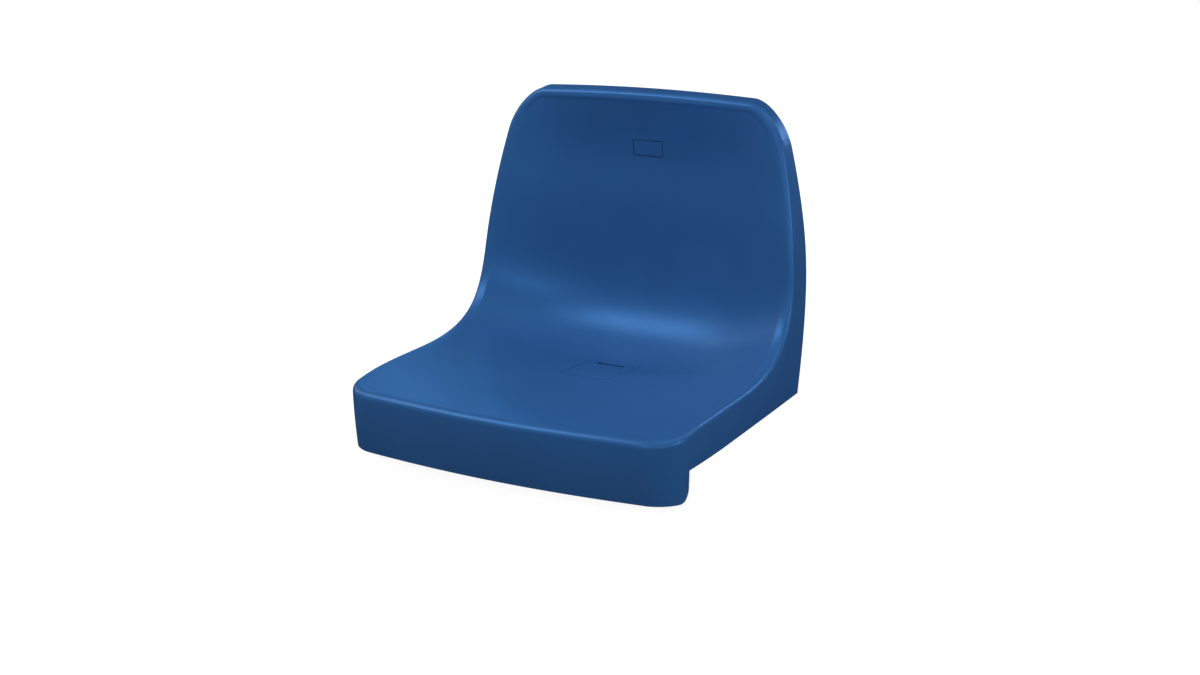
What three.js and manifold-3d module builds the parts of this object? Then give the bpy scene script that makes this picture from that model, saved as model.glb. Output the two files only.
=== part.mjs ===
// A fixed stadium seat: a high-backed shell moulded in one piece, bolted down to the edge of a concrete step.
// Lengths are in millimetres. +X is the sitter's left, -Y the front and +Z up.
// The origin is the middle of the fixing pad, on the plane where the seat rests on its step.
import * as THREE from "three";
import { mergeVertices } from "three/addons/utils/BufferGeometryUtils.js";
import Module from "manifold-3d";

const wasm = await Module();
wasm.setup();

// Side view of the rim: a drooping front edge, a level pan, a crook and a leaning back.
const frontEdgeY = -246;
const panRimZ = 46.5;
const frontDroop = 7.5;
const frontDroopRun = 96;
const crookStartY = -66;
const backStartY = 88;
const backStartZ = 145;
const backLeanDegrees = 8;
const topRimZ = 351;

// Width of the shell along the rim, as half-widths. The sharp corners are rounded afterwards.
const halfWidth = 215.5;
const frontCornerHalfWidth = 207;
const frontTaperRun = 145;
const frontCornerDrop = 5;
const topCornerHalfWidth = 171;
const narrowingStart = 322;
const frontBowRadius = 1250;
const topCrownRadius = 2700;
const frontCornerRun = 33;
const topCornerRun = 33;
const topCornerSideRun = 52;

// The moulding's wall and its rolled rim.
const wall = 4;
const rollRadius = 7;
const rimBand = 1.5;
const rimShoulder = 6;
const rimStep = 0.6;

// Depth of the dish behind the rim, down the middle of the seat, at shares of the rim's length.
const frontDish = 0.5;
const lapDish = 8;
const panDish = 15.5;
const seatDish = 23.5;
const crookDish = 49.5;
const lumbarDish = 42.5;
const midBackDish = 34.5;
const shoulderDish = 25.5;
const topDish = -5;
const dishPlaceShares = [0, 0.13, 0.35, 0.42, 0.53, 0.66, 0.76, 0.88, 1];
const dishPower = 2.3;

// Skirts hang from the rim: an apron in front, sides that stand on the step, and a flange round the back.
const apronDrop = 34.5;
const apronBowRadius = 257;
const apronEndY = -190;
const apronCornerRadius = 15;
const rearCornerY = 112.8;
const rearTopY = 138.5;
const rearBulge = 8;
const panSideFlareDegrees = -1;
const backSideFlareDegrees = 3;
const topFlareDegrees = 15;
const overrun = 10;

// Ribs under the pan and behind the crook.
const ribThickness = 3;
const ribLift = 3;
const ribRearInset = 14;
const ribTopZ = 120;

// Fixing well in the middle of the pan, and the cover over it.
const coverWidth = 62;
const coverLength = 75;
const coverCornerRadius = 3;
const coverThickness = 2.6;
const coverGap = 0.4;
const coverSeating = 0.3;
const ledge = 4;
const wellWall = 3.5;
const wellFloor = 6;
const gripSlotWidth = 38.5;
const gripSlotDepth = 2.6;
const coverLegWidth = 9;
const coverLegThickness = 2;
const coverLegLength = 11;
const coverLegPlaceShare = 0.27;
const drainRadius = 3;

// Fixings: two hexagon-head bolts on wide washers, in nylon plugs let into the step.
const washerClearance = 1.5;
const boltRadius = 4;
const boltHeadFlats = 13;
const boltHeadHeight = 5.3;
const boltLength = 66;
const boltSlotPlay = 0.6;
const boltSlotTravel = 4;
const washerRadius = 12;
const washerThickness = 1.6;
const plugRadius = 6;
const plugLength = 60;
const plugRecess = 3;
const plugSlit = 1;
const plugSlitShare = 0.7;

// Number plate high on the back, held by two pegs and their push-on clips.
const plateWidth = 39.5;
const plateHeight = 19.5;
const plateThickness = 1.6;
const plateCornerRadius = 1.2;
const plateGap = 0.6;
const plateRimShare = 0.883;
const pegRadius = 1.5;
const pegSpacing = 26;
const pegLength = 5.6;
const clipRadius = 4.5;
const clipThickness = 0.8;
const clipSlit = 0.8;
const clipSlitReach = 3.4;

// Gap left between neighbouring pieces, and fine lengths used in working the surfaces out.
const runningGap = 0.3;
const slopeStep = 10;
const weldDistance = 0.001;

// Fineness of the faceted surfaces, as counts.
const frontSteps = 6;
const cornerSteps = 4;
const panSteps = 6;
const crookSteps = 10;
const backSteps = 8;
const shoulderSteps = 3;
const rollSteps = 4;
const skirtSteps = 4;
const roundSteps = 24;

const radians = THREE.MathUtils.degToRad;
const lerp = THREE.MathUtils.lerp;
const smooth = (from, to, value) => THREE.MathUtils.smoothstep(value, from, to);
const v2 = (a, b) => new THREE.Vector2(a, b);
const v3 = (a, b, c) => new THREE.Vector3(a, b, c);

// Rim in the side view, as (y, z) points at any length along it.
const leanSlope = Math.tan(radians(backLeanDegrees));
const topRimY = backStartY + leanSlope * (topRimZ - backStartZ);
const crookFullnessShare = 0.76;
const droopFullnessShare = 0.55;

function sideRimCurve() {
  const front = v2(frontEdgeY, panRimZ - frontDroop);
  const droopEnd = v2(frontEdgeY + frontDroopRun, panRimZ);
  const droopHandle = v2(frontEdgeY + frontDroopRun * droopFullnessShare, panRimZ);
  const crookStart = v2(crookStartY, panRimZ);
  const crookEnd = v2(backStartY, backStartZ);
  const corner = v2(backStartY - leanSlope * (backStartZ - panRimZ), panRimZ);
  const firstHandle = crookStart.clone().lerp(corner, crookFullnessShare);
  const lastHandle = crookEnd.clone().lerp(corner, crookFullnessShare);
  const path = new THREE.CurvePath();
  path.add(new THREE.QuadraticBezierCurve(front, droopHandle, droopEnd));
  path.add(new THREE.LineCurve(droopEnd, crookStart));
  path.add(new THREE.CubicBezierCurve(crookStart, firstHandle, lastHandle, crookEnd));
  path.add(new THREE.LineCurve(crookEnd, v2(topRimY, topRimZ)));
  return path;
}

const sideRim = sideRimCurve();
const rimLength = sideRim.getLength();
const [, panEndLength, crookEndLength] = sideRim.getCurveLengths();

// Place on the rim's side view: the point, the way along it and the way behind it.
function rimPlace(s) {
  const share = THREE.MathUtils.clamp(s / rimLength, 0, 1);
  const point = sideRim.getPoint(share);
  const along = sideRim.getTangent(share);
  return {
    point: v3(0, point.x, point.y),
    along: v3(0, along.x, along.y),
    behind: s < panEndLength ? v3(0, 0, -1) : v3(0, along.y, -along.x),
  };
}

// Half-width of the shell before its corners are rounded.
function sideHalfWidth(s) {
  const taper = Math.max(0, 1 - s / frontTaperRun) ** 2;
  const narrowing = Math.max(0, (s - narrowingStart) / (rimLength - narrowingStart)) ** 2;
  const lost = (halfWidth - frontCornerHalfWidth) * taper + (halfWidth - topCornerHalfWidth) * narrowing;
  return halfWidth - lost;
}

const frontEdge = (x) => (x * x) / (2 * frontBowRadius);
const topEdge = (x) => rimLength - (x * x) / (2 * topCrownRadius);

// A rounded corner between two edges of the outline, each given by its end, its way in and its run.
const cornerHandleShare = 0.56;
function roundedCorner(start, startWay, startRun, end, endWay, endRun) {
  const first = start.clone().addScaledVector(startWay.normalize(), startRun * cornerHandleShare);
  const last = end.clone().addScaledVector(endWay.normalize(), endRun * cornerHandleShare);
  return new THREE.CubicBezierCurve(start, first, last, end);
}

// Right half of the flattened outline, as (x, s) points. Its three borders meet in the middle of each corner.
function outlineBorders() {
  const frontX = frontCornerHalfWidth - frontCornerRun;
  const sideStart = frontEdge(frontCornerHalfWidth) + frontCornerRun;
  const sideEnd = topEdge(topCornerHalfWidth) - topCornerSideRun;
  const topX = topCornerHalfWidth - topCornerRun;
  const side = (s) => v2(sideHalfWidth(s), s);
  const rise = (edge, at) => edge(at + slopeStep) - edge(at - slopeStep);
  const frontCorner = roundedCorner(
    v2(frontX, frontEdge(frontX)), v2(2 * slopeStep, rise(frontEdge, frontX)), frontCornerRun,
    side(sideStart), v2(-rise(sideHalfWidth, sideStart), -2 * slopeStep), frontCornerRun);
  const topCorner = roundedCorner(
    side(sideEnd), v2(rise(sideHalfWidth, sideEnd), 2 * slopeStep), topCornerSideRun,
    v2(topX, topEdge(topX)), v2(2 * slopeStep, rise(topEdge, topX)), topCornerRun);
  const spread = (from, to, steps) => Array.from({ length: steps }, (_, k) => lerp(from, to, k / steps));
  const pieceOf = (corner, from, to) => spread(from, to, cornerSteps).map((share) => corner.getPoint(share));
  const sideStations = [
    ...spread(sideStart, panEndLength, panSteps),
    ...spread(panEndLength, crookEndLength, crookSteps),
    ...spread(crookEndLength, sideEnd, backSteps),
  ];
  return {
    front: [
      ...spread(0, frontX, frontSteps).map((x) => v2(x, frontEdge(x))),
      ...pieceOf(frontCorner, 0, 1 / 2),
      frontCorner.getPoint(1 / 2),
    ],
    side: [
      ...pieceOf(frontCorner, 1 / 2, 1),
      ...sideStations.map(side),
      ...pieceOf(topCorner, 0, 1 / 2),
      topCorner.getPoint(1 / 2),
    ],
    top: [
      ...spread(0, topX, frontSteps).map((x) => v2(x, topEdge(x))),
      ...pieceOf(topCorner, 1, 1 / 2),
      topCorner.getPoint(1 / 2),
    ],
  };
}

const mirrored = (p) => v2(-p.x, p.y);
const borders = outlineBorders();
const columns = 2 * (borders.front.length - 1);
const rows = borders.side.length - 1;
const bothHalves = (border) => [...border.slice(1).reverse().map(mirrored), ...border];

// The whole outline as one loop: along the front, up the left, back along the top and down the right.
function outlineLoop() {
  const front = bothHalves(borders.front);
  const top = bothHalves(borders.top).reverse();
  const down = borders.side.map(mirrored).reverse();
  return [...front.slice(0, -1), ...borders.side.slice(0, -1), ...top.slice(0, -1), ...down.slice(0, -1)];
}

const loop = outlineLoop();
const outward = loop.map((_, k) => {
  const after = loop[(k + 1) % loop.length];
  const before = loop[(k + loop.length - 1) % loop.length];
  return v2(after.y - before.y, before.x - after.x).normalize();
});

// Dish behind the rim. Its depth down the middle fades to nothing at the sides.
const dishDepths = [
  frontDish, lapDish, panDish, seatDish, crookDish, lumbarDish, midBackDish, shoulderDish, topDish,
];
const dishPlaces = dishPlaceShares.map((share) => share * rimLength);
const dishSpline = new THREE.CubicInterpolant(dishPlaces, dishDepths, 1);
const rimRun = rollRadius + rimBand + rimShoulder;

function dishDepth(x, s) {
  const across = Math.min(1, Math.abs(x) / (sideHalfWidth(s) - rimRun));
  const middle = dishSpline.evaluate(THREE.MathUtils.clamp(s, 0, rimLength))[0];
  return rimStep + middle * (1 - across ** dishPower);
}

// How far the rim sinks towards the front corners.
function cornerSink(x, s) {
  const nearFront = Math.max(0, 1 - s / frontTaperRun) ** 2;
  return frontCornerDrop * nearFront * (x / frontCornerHalfWidth) ** 4;
}

function behindRim(x, s, depth) {
  const place = rimPlace(s);
  return place.point.addScaledVector(place.behind, depth + cornerSink(x, s)).setX(x);
}

const facePoint = (x, s) => behindRim(x, s, dishDepth(x, s));

// Rear edge of the side skirts in the side view. It bulges most a third of the way up.
const bulgePeakShare = 4 / 27;
function rearEdgeY(z) {
  const share = z / topRimZ;
  const bulge = Math.max(0, share * (1 - share) ** 2) / bulgePeakShare;
  return lerp(rearCornerY, rearTopY, share) + rearBulge * bulge;
}

// How far the skirt reaches behind the rim: to the rear edge, or past the apron's bottom.
const skirtReachSteps = 40;
function skirtEnd(s) {
  const { point, behind } = rimPlace(s);
  const drop = point.z + apronDrop + overrun;
  const toFloor = behind.z < 0 ? drop / -behind.z : Infinity;
  let near = 0;
  let far = Math.min(toFloor, rimLength);
  const isPast = (reach) => point.y + behind.y * reach > rearEdgeY(point.z + behind.z * reach);
  if (!isPast(far)) return far;
  for (let k = 0; k < skirtReachSteps; k++) {
    const middle = (near + far) / 2;
    if (isPast(middle)) far = middle;
    else near = middle;
  }
  return far;
}

// How far the skirt leans outwards at a given reach below the roll.
function skirtFlare(s, way, reach) {
  const backShare = smooth(narrowingStart, (narrowingStart + rimLength) / 2, s);
  const sideSlope = Math.tan(radians(lerp(panSideFlareDegrees, backSideFlareDegrees, backShare)));
  const topSlope = Math.tan(radians(topFlareDegrees));
  const inFront = Math.max(0, -way.y) ** 2;
  const onTop = Math.max(0, way.y) ** 2;
  const atSide = way.x ** 2;
  const bow = (reach * reach) / (2 * apronBowRadius);
  return atSide * sideSlope * reach + onTop * topSlope * reach - inFront * bow;
}

function skirtPoint(k, depth) {
  const { x, y: s } = loop[k];
  const place = rimPlace(s);
  const way = outward[k];
  const flare = skirtFlare(s, way, depth - rollRadius);
  return place.point
    .setX(x + way.x * flare)
    .addScaledVector(place.behind, depth + cornerSink(x, s))
    .addScaledVector(place.along, way.y * flare);
}

// A point of the rim at a distance in from the outline.
function rimPoint(k, inset, depth) {
  const at = loop[k].clone().addScaledVector(outward[k], -inset);
  return behindRim(at.x, at.y, depth(at));
}

// Rings round the shell, from the dish's edge out over the roll and down the skirt.
function shellRings() {
  const crest = rollRadius + rimBand;
  const shoulder = (share) => (k) =>
    rimPoint(k, lerp(rimRun, crest, share), (at) => dishDepth(at.x, at.y) * (1 - smooth(0, 1, share)));
  const roll = (angle) => (k) =>
    rimPoint(k, rollRadius * (1 - Math.cos(angle)), () => rollRadius * (1 - Math.sin(angle)));
  const skirt = (share) => (k) => skirtPoint(k, lerp(rollRadius, skirtEnd(loop[k].y), share));
  const rings = [];
  for (let k = 1; k <= shoulderSteps; k++) rings.push(shoulder(k / shoulderSteps));
  for (let k = rollSteps; k >= 0; k--) rings.push(roll(((k / rollSteps) * Math.PI) / 2));
  for (let k = 1; k <= skirtSteps; k++) rings.push(skirt(k / skirtSteps));
  return rings.map((ring) => loop.map((_, k) => ring(k)));
}

// Grid of the dish, blended from the edge that the rings start from.
function dishGrid() {
  const inner = loop.map((p, k) => p.clone().addScaledVector(outward[k], -rimRun));
  const front = inner.slice(0, columns + 1);
  const right = inner.slice(columns, columns + rows + 1);
  const top = inner.slice(columns + rows, 2 * columns + rows + 1).reverse();
  const grid = [];
  for (let j = 0; j <= rows; j++) {
    const up = (right[j].y - right[0].y) / (right[rows].y - right[0].y);
    for (let i = 0; i <= columns; i++) {
      const across = (2 * i) / columns - 1;
      const x = across * right[j].x + (1 - up) * (front[i].x - across * right[0].x)
        + up * (top[i].x - across * right[rows].x);
      const s = right[j].y + (1 - up) * (front[i].y - right[0].y) + up * (top[i].y - right[rows].y);
      grid.push(facePoint(x, s));
    }
  }
  return grid;
}

// The visible face of the whole moulding: its points, and its triangles facing the sitter and outwards.
function mouldingFace() {
  const points = dishGrid();
  const at = (i, j) => j * (columns + 1) + i;
  const triangles = [];
  const quad = (a, b, c, d) => triangles.push([a, b, c], [a, c, d]);
  for (let j = 0; j < rows; j++)
    for (let i = 0; i < columns; i++) {
      const turned = (i < columns / 2) !== (j < rows / 2);
      const corners = [at(i, j), at(i + 1, j), at(i + 1, j + 1), at(i, j + 1)];
      if (turned) corners.push(corners.shift());
      quad(...corners);
    }
  let ring = [];
  for (let i = 0; i < columns; i++) ring.push(at(i, 0));
  for (let j = 0; j < rows; j++) ring.push(at(columns, j));
  for (let i = columns; i > 0; i--) ring.push(at(i, rows));
  for (let j = rows; j > 0; j--) ring.push(at(0, j));
  for (const outer of shellRings()) {
    const next = outer.map((point) => points.push(point) - 1);
    ring.forEach((a, k) => {
      const after = (k + 1) % ring.length;
      quad(a, next[k], next[after], ring[after]);
    });
    ring = next;
  }
  return { points, triangles, edge: ring };
}

const moulding = mouldingFace();

// Direction out of the visible face at each of its points.
function faceNormals({ points, triangles }) {
  const normals = points.map(() => v3(0, 0, 0));
  for (const [a, b, c] of triangles) {
    const first = points[b].clone().sub(points[a]);
    const second = points[c].clone().sub(points[a]);
    const normal = first.cross(second);
    for (const corner of [a, b, c]) normals[corner].add(normal);
  }
  return normals.map((normal) => normal.normalize());
}

const normals = faceNormals(moulding);
const pushedIn = (depth) => moulding.points.map((p, k) => p.clone().addScaledVector(normals[k], -depth));

function solidFrom(points, triangles) {
  const vertProperties = new Float32Array(points.flatMap((p) => [p.x, p.y, p.z]));
  return new wasm.Manifold(
    new wasm.Mesh({ numProp: 3, vertProperties, triVerts: new Uint32Array(triangles.flat()) }));
}

// A closed skin that follows the visible face, between two depths under it.
function skin(outer, inner) {
  const { points, triangles, edge } = moulding;
  const offset = points.length;
  const hidden = triangles.map(([a, b, c]) => [a + offset, c + offset, b + offset]);
  const closing = edge.flatMap((a, k) => {
    const b = edge[(k + 1) % edge.length];
    return [[a, a + offset, b + offset], [a, b + offset, b]];
  });
  return solidFrom([...pushedIn(outer), ...pushedIn(inner)], [...triangles, ...hidden, ...closing]);
}

// The room behind the visible face, from a depth under it to a cap across the moulding's open back.
function roomBehind(depth) {
  const { triangles, edge } = moulding;
  const points = pushedIn(depth);
  const tip = points.push(v3(0, rearTopY + 2 * overrun, -overrun)) - 1;
  const cap = edge.map((a, k) => [a, tip, edge[(k + 1) % edge.length]]);
  return solidFrom(points, [...triangles, ...cap]);
}

function solidOf(geometry) {
  const bare = geometry.clone();
  bare.deleteAttribute("normal");
  bare.deleteAttribute("uv");
  const merged = mergeVertices(bare, weldDistance);
  return new wasm.Manifold(new wasm.Mesh({
    numProp: 3,
    vertProperties: new Float32Array(merged.attributes.position.array),
    triVerts: new Uint32Array(merged.index.array),
  }));
}

// A box between two corners.
function block(from, to) {
  const size = to.clone().sub(from);
  const middle = from.clone().add(to).multiplyScalar(1 / 2);
  return solidOf(new THREE.BoxGeometry(size.x, size.y, size.z).translate(middle.x, middle.y, middle.z));
}

// A rounded rectangle as a shape, given by its middle and size.
function roundedRectangle(x, y, width, length, radius) {
  const right = x + width / 2;
  const left = x - width / 2;
  const back = y + length / 2;
  const front = y - length / 2;
  const shape = new THREE.Shape();
  shape.moveTo(left + radius, front);
  shape.lineTo(right - radius, front);
  shape.absarc(right - radius, front + radius, radius, -Math.PI / 2, 0);
  shape.lineTo(right, back - radius);
  shape.absarc(right - radius, back - radius, radius, 0, Math.PI / 2);
  shape.lineTo(left + radius, back);
  shape.absarc(left + radius, back - radius, radius, Math.PI / 2, Math.PI);
  shape.lineTo(left, front + radius);
  shape.absarc(left + radius, front + radius, radius, Math.PI, 1.5 * Math.PI);
  return shape;
}

// A shape in the plan, raised between two heights.
function raised(shape, from, to) {
  const geometry = new THREE.ExtrudeGeometry(shape, {
    depth: to - from, bevelEnabled: false, curveSegments: cornerSteps,
  });
  return solidOf(geometry.translate(0, 0, from));
}

// A shape drawn in the side view, from one side of the seat to the other.
function acrossSeat(shape, from, to) {
  const geometry = new THREE.ExtrudeGeometry(shape, {
    depth: to - from, bevelEnabled: false, curveSegments: roundSteps / 4,
  });
  geometry.rotateX(Math.PI / 2).rotateZ(Math.PI / 2);
  return solidOf(geometry.translate(from, 0, 0));
}

// What lies below the bottom edges: the apron's edge in front, then a notch up to the plane of the step.
function belowEdges() {
  const front = frontEdgeY - 2 * overrun;
  const rear = rearTopY + 3 * overrun;
  const floor = -(apronDrop + 3 * overrun);
  const shape = new THREE.Shape();
  shape.moveTo(front, floor);
  shape.lineTo(rear, floor);
  shape.lineTo(rear, 0);
  shape.lineTo(apronEndY, 0);
  shape.lineTo(apronEndY, apronCornerRadius - apronDrop);
  shape.absarc(
    apronEndY - apronCornerRadius, apronCornerRadius - apronDrop, apronCornerRadius, 0, -Math.PI / 2, true);
  shape.lineTo(front, -apronDrop);
  return acrossSeat(shape, -halfWidth - overrun, halfWidth + overrun);
}

// Well under the cover. It runs back to the cover's rear edge and keeps a ledge on its other sides.
const wellHalfWidth = coverWidth / 2 - ledge;
const wellFront = -coverLength / 2 + ledge;
const wellRear = coverLength / 2 + coverGap;
const wellMiddleY = (wellFront + wellRear) / 2;
const wellLength = wellRear - wellFront;
const aboveCover = panRimZ + overrun;

function ribs() {
  const ribX = wellHalfWidth + wellWall - ribThickness / 2;
  const shape = new THREE.Shape();
  shape.moveTo(frontEdgeY, ribLift);
  shape.lineTo(rearEdgeY(ribLift) - ribRearInset, ribLift);
  shape.lineTo(rearEdgeY(ribTopZ) - ribRearInset, ribTopZ);
  shape.lineTo(frontEdgeY, ribTopZ);
  const long = [-1, 1].map((side) =>
    acrossSeat(shape, side * ribX - ribThickness / 2, side * ribX + ribThickness / 2));
  const cross = [wellFront - wellWall + ribThickness / 2, wellRear + wellWall - ribThickness / 2].map((y) =>
    block(v3(-halfWidth, y - ribThickness / 2, ribLift), v3(halfWidth, y + ribThickness / 2, ribTopZ)));
  return [...long, ...cross];
}

function wellSolid() {
  const width = 2 * (wellHalfWidth + wellWall);
  const length = wellLength + 2 * wellWall;
  return raised(roundedRectangle(0, wellMiddleY, width, length, coverCornerRadius), 0, aboveCover);
}

function wellHollow() {
  const shape = roundedRectangle(0, wellMiddleY, 2 * wellHalfWidth, wellLength, coverCornerRadius);
  return raised(shape, wellFloor, aboveCover);
}

const coverOutline = (gap) =>
  roundedRectangle(0, 0, coverWidth - 2 * gap, coverLength - 2 * gap, coverCornerRadius);

function coverPocket() {
  const column = raised(coverOutline(-coverGap), 0, aboveCover);
  return column.intersect(skin(-overrun / 2, coverThickness + coverSeating));
}

// An upright round bar.
function roundBar(radius, from, to, x = 0, y = 0, sides = roundSteps) {
  const geometry = new THREE.CylinderGeometry(radius, radius, to - from, sides);
  return solidOf(geometry.rotateX(Math.PI / 2).translate(x, y, (from + to) / 2));
}

const boltY = wellFront + washerClearance + washerRadius;
const boltPlaces = { front: boltY, rear: -boltY };

function boltSlots() {
  const radius = boltRadius + boltSlotPlay;
  return Object.values(boltPlaces).map((y) =>
    raised(roundedRectangle(0, y, 2 * (radius + boltSlotTravel), 2 * radius, boltRadius),
      -overrun, wellFloor + overrun));
}

function drainHoles() {
  const x = wellHalfWidth - 2 * drainRadius;
  return [-x, x].map((at) => roundBar(drainRadius, -overrun, wellFloor + overrun, at, wellMiddleY));
}

// Place of the number plate: its middle on the face, and the directions across, up and out of it.
function platePlace() {
  const s = plateRimShare * rimLength;
  const middle = facePoint(0, s);
  const up = facePoint(0, s + plateHeight / 2).sub(facePoint(0, s - plateHeight / 2)).normalize();
  const across = v3(1, 0, 0);
  const out = across.clone().cross(up);
  return new THREE.Matrix4().makeBasis(across, up, out).setPosition(middle);
}

const plateFrame = platePlace();
const onPlate = (geometry) => geometry.applyMatrix4(plateFrame);
const pegPlaces = { left: pegSpacing / 2, right: -pegSpacing / 2 };

function plateSlab(width, height, radius, from, to) {
  const geometry = new THREE.ExtrudeGeometry(roundedRectangle(0, 0, width, height, radius), {
    depth: to - from, bevelEnabled: false, curveSegments: cornerSteps,
  });
  return solidOf(onPlate(geometry.translate(0, 0, from)));
}

function platePin(radius, x, from, to) {
  const geometry = new THREE.CylinderGeometry(radius, radius, to - from, roundSteps);
  return solidOf(onPlate(geometry.rotateX(Math.PI / 2).translate(x, 0, (from + to) / 2)));
}

function seatShell() {
  const room = roomBehind(wall / 2);
  let solid = skin(0, wall);
  for (const piece of [...ribs(), wellSolid()]) solid = solid.add(piece.intersect(room));
  const cuts = [
    belowEdges(),
    coverPocket(),
    wellHollow(),
    ...boltSlots(),
    ...drainHoles(),
    plateSlab(
      plateWidth + 2 * plateGap, plateHeight + 2 * plateGap, plateCornerRadius + plateGap,
      -plateThickness - runningGap, overrun),
    ...Object.values(pegPlaces).map((x) => platePin(pegRadius + runningGap, x, -2 * overrun, overrun)),
  ];
  for (const cut of cuts) solid = solid.subtract(cut);
  return solid;
}

function fixingCover() {
  const column = raised(coverOutline(0), 0, aboveCover);
  let solid = column.intersect(skin(0, coverThickness));
  const legX = wellHalfWidth - runningGap - coverLegThickness;
  const legTop = facePoint(0, lengthAtY(0)).z;
  const legs = [];
  for (const side of [-1, 1])
    for (const end of [-1, 1]) {
      const y = end * coverLength * coverLegPlaceShare;
      const xs = [side * legX, side * (legX + coverLegThickness)].sort((a, b) => a - b);
      legs.push(block(
        v3(xs[0], y - coverLegWidth / 2, legTop - coverThickness - coverLegLength),
        v3(xs[1], y + coverLegWidth / 2, aboveCover)));
    }
  const under = roomBehind(coverThickness / 2);
  for (const leg of legs) solid = solid.add(leg.intersect(under));
  const slot = block(
    v3(-gripSlotWidth / 2, coverLength / 2 - gripSlotDepth, 0),
    v3(gripSlotWidth / 2, coverLength / 2 + overrun, aboveCover));
  return solid.subtract(slot);
}

// Length along the rim whose dish point, in the middle of the seat, lies at a given y.
function lengthAtY(y) {
  let near = 0;
  let far = panEndLength + (crookEndLength - panEndLength) / 2;
  for (let k = 0; k < skirtReachSteps; k++) {
    const middle = (near + far) / 2;
    if (facePoint(0, middle).y > y) far = middle;
    else near = middle;
  }
  return far;
}

// Number plate: a flush slab with two pegs moulded on its back.
function numberPlate() {
  let solid = plateSlab(plateWidth, plateHeight, plateCornerRadius, -plateThickness, 0);
  for (const x of Object.values(pegPlaces))
    solid = solid.add(platePin(pegRadius, x, -plateThickness - pegLength, -plateThickness / 2));
  return solid;
}

// Push-on clip: a thin spring disc that is slit crosswise so that its tongues grip the peg.
function plateClip(x) {
  const top = -wall - runningGap;
  const bottom = top - clipThickness;
  let solid = platePin(clipRadius, x, bottom, top);
  solid = solid.subtract(platePin(pegRadius + runningGap, x, bottom - overrun, top + overrun));
  for (const [across, up] of [[clipSlitReach, clipSlit / 2], [clipSlit / 2, clipSlitReach]]) {
    const box = new THREE.BoxGeometry(2 * across, 2 * up, clipThickness + 2 * overrun);
    solid = solid.subtract(solidOf(onPlate(box.translate(x, 0, (top + bottom) / 2))));
  }
  return solid;
}

// Fixing stack from the floor of the well upwards: washer, then bolt head.
const washerBottom = wellFloor + runningGap;
const headBottom = washerBottom + washerThickness + runningGap;
const hexagon = 6;

function anchorBolt(y) {
  const headRadius = boltHeadFlats / 2 / Math.cos(Math.PI / hexagon);
  const head = roundBar(headRadius, headBottom, headBottom + boltHeadHeight, 0, y, hexagon);
  return head.add(roundBar(boltRadius, headBottom - boltLength, headBottom + boltHeadHeight / 2, 0, y));
}

function washer(y) {
  const disc = roundBar(washerRadius, washerBottom, washerBottom + washerThickness, 0, y);
  return disc.subtract(roundBar(boltRadius + boltSlotPlay, 0, aboveCover, 0, y));
}

// Expansion plug: a tube let in below the step's surface, slit crosswise from its lower end.
function expansionPlug(y) {
  const top = -plugRecess;
  const bottom = top - plugLength;
  const slitTop = bottom + plugLength * plugSlitShare;
  let solid = roundBar(plugRadius, bottom, top, 0, y);
  solid = solid.subtract(roundBar(boltRadius + runningGap, bottom - overrun, top + overrun, 0, y));
  for (const [x, across] of [[plugSlit / 2, plugRadius + overrun], [plugRadius + overrun, plugSlit / 2]])
    solid = solid.subtract(block(v3(-x, y - across, bottom - overrun), v3(x, y + across, slitTop)));
  return solid;
}

const bluePlastic = { color: 0x26528a, roughness: 0.42, metalness: 0 };
const bluePlate = { color: 0x24497a, roughness: 0.5, metalness: 0 };
const zincSteel = { color: 0xb4b8ba, roughness: 0.35, metalness: 1 };
const greyNylon = { color: 0x8c8f91, roughness: 0.6, metalness: 0 };

function meshOf(name, solid, finish) {
  const { numProp, vertProperties, triVerts } = solid.getMesh();
  const positions = new Float32Array((vertProperties.length / numProp) * 3);
  for (let k = 0; k < positions.length / 3; k++)
    positions.set(vertProperties.subarray(k * numProp, k * numProp + 3), 3 * k);
  const geometry = new THREE.BufferGeometry();
  geometry.setAttribute("position", new THREE.BufferAttribute(positions, 3));
  geometry.setIndex(new THREE.BufferAttribute(triVerts, 1));
  geometry.computeVertexNormals();
  const mesh = new THREE.Mesh(geometry, new THREE.MeshStandardMaterial(finish));
  mesh.name = name;
  return mesh;
}

const seat = new THREE.Group();
seat.add(meshOf("seat_shell", seatShell(), bluePlastic));
seat.add(meshOf("fixing_cover", fixingCover(), bluePlastic));
seat.add(meshOf("number_plate", numberPlate(), bluePlate));
for (const [side, x] of Object.entries(pegPlaces))
  seat.add(meshOf(`plate_clip_${side}`, plateClip(x), zincSteel));
for (const [end, y] of Object.entries(boltPlaces)) {
  seat.add(meshOf(`anchor_bolt_${end}`, anchorBolt(y), zincSteel));
  seat.add(meshOf(`washer_${end}`, washer(y), zincSteel));
  seat.add(meshOf(`expansion_plug_${end}`, expansionPlug(y), greyNylon));
}

export default seat;
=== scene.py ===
"""A fixed stadium seat: a moulded shell with a rolled rim, its fixing cover, number plate and fixings."""
import math

import bpy
import numpy as np
from bpy.props import FloatProperty, FloatVectorProperty, IntProperty, PointerProperty, StringProperty
from mathutils import Matrix, Vector


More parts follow.
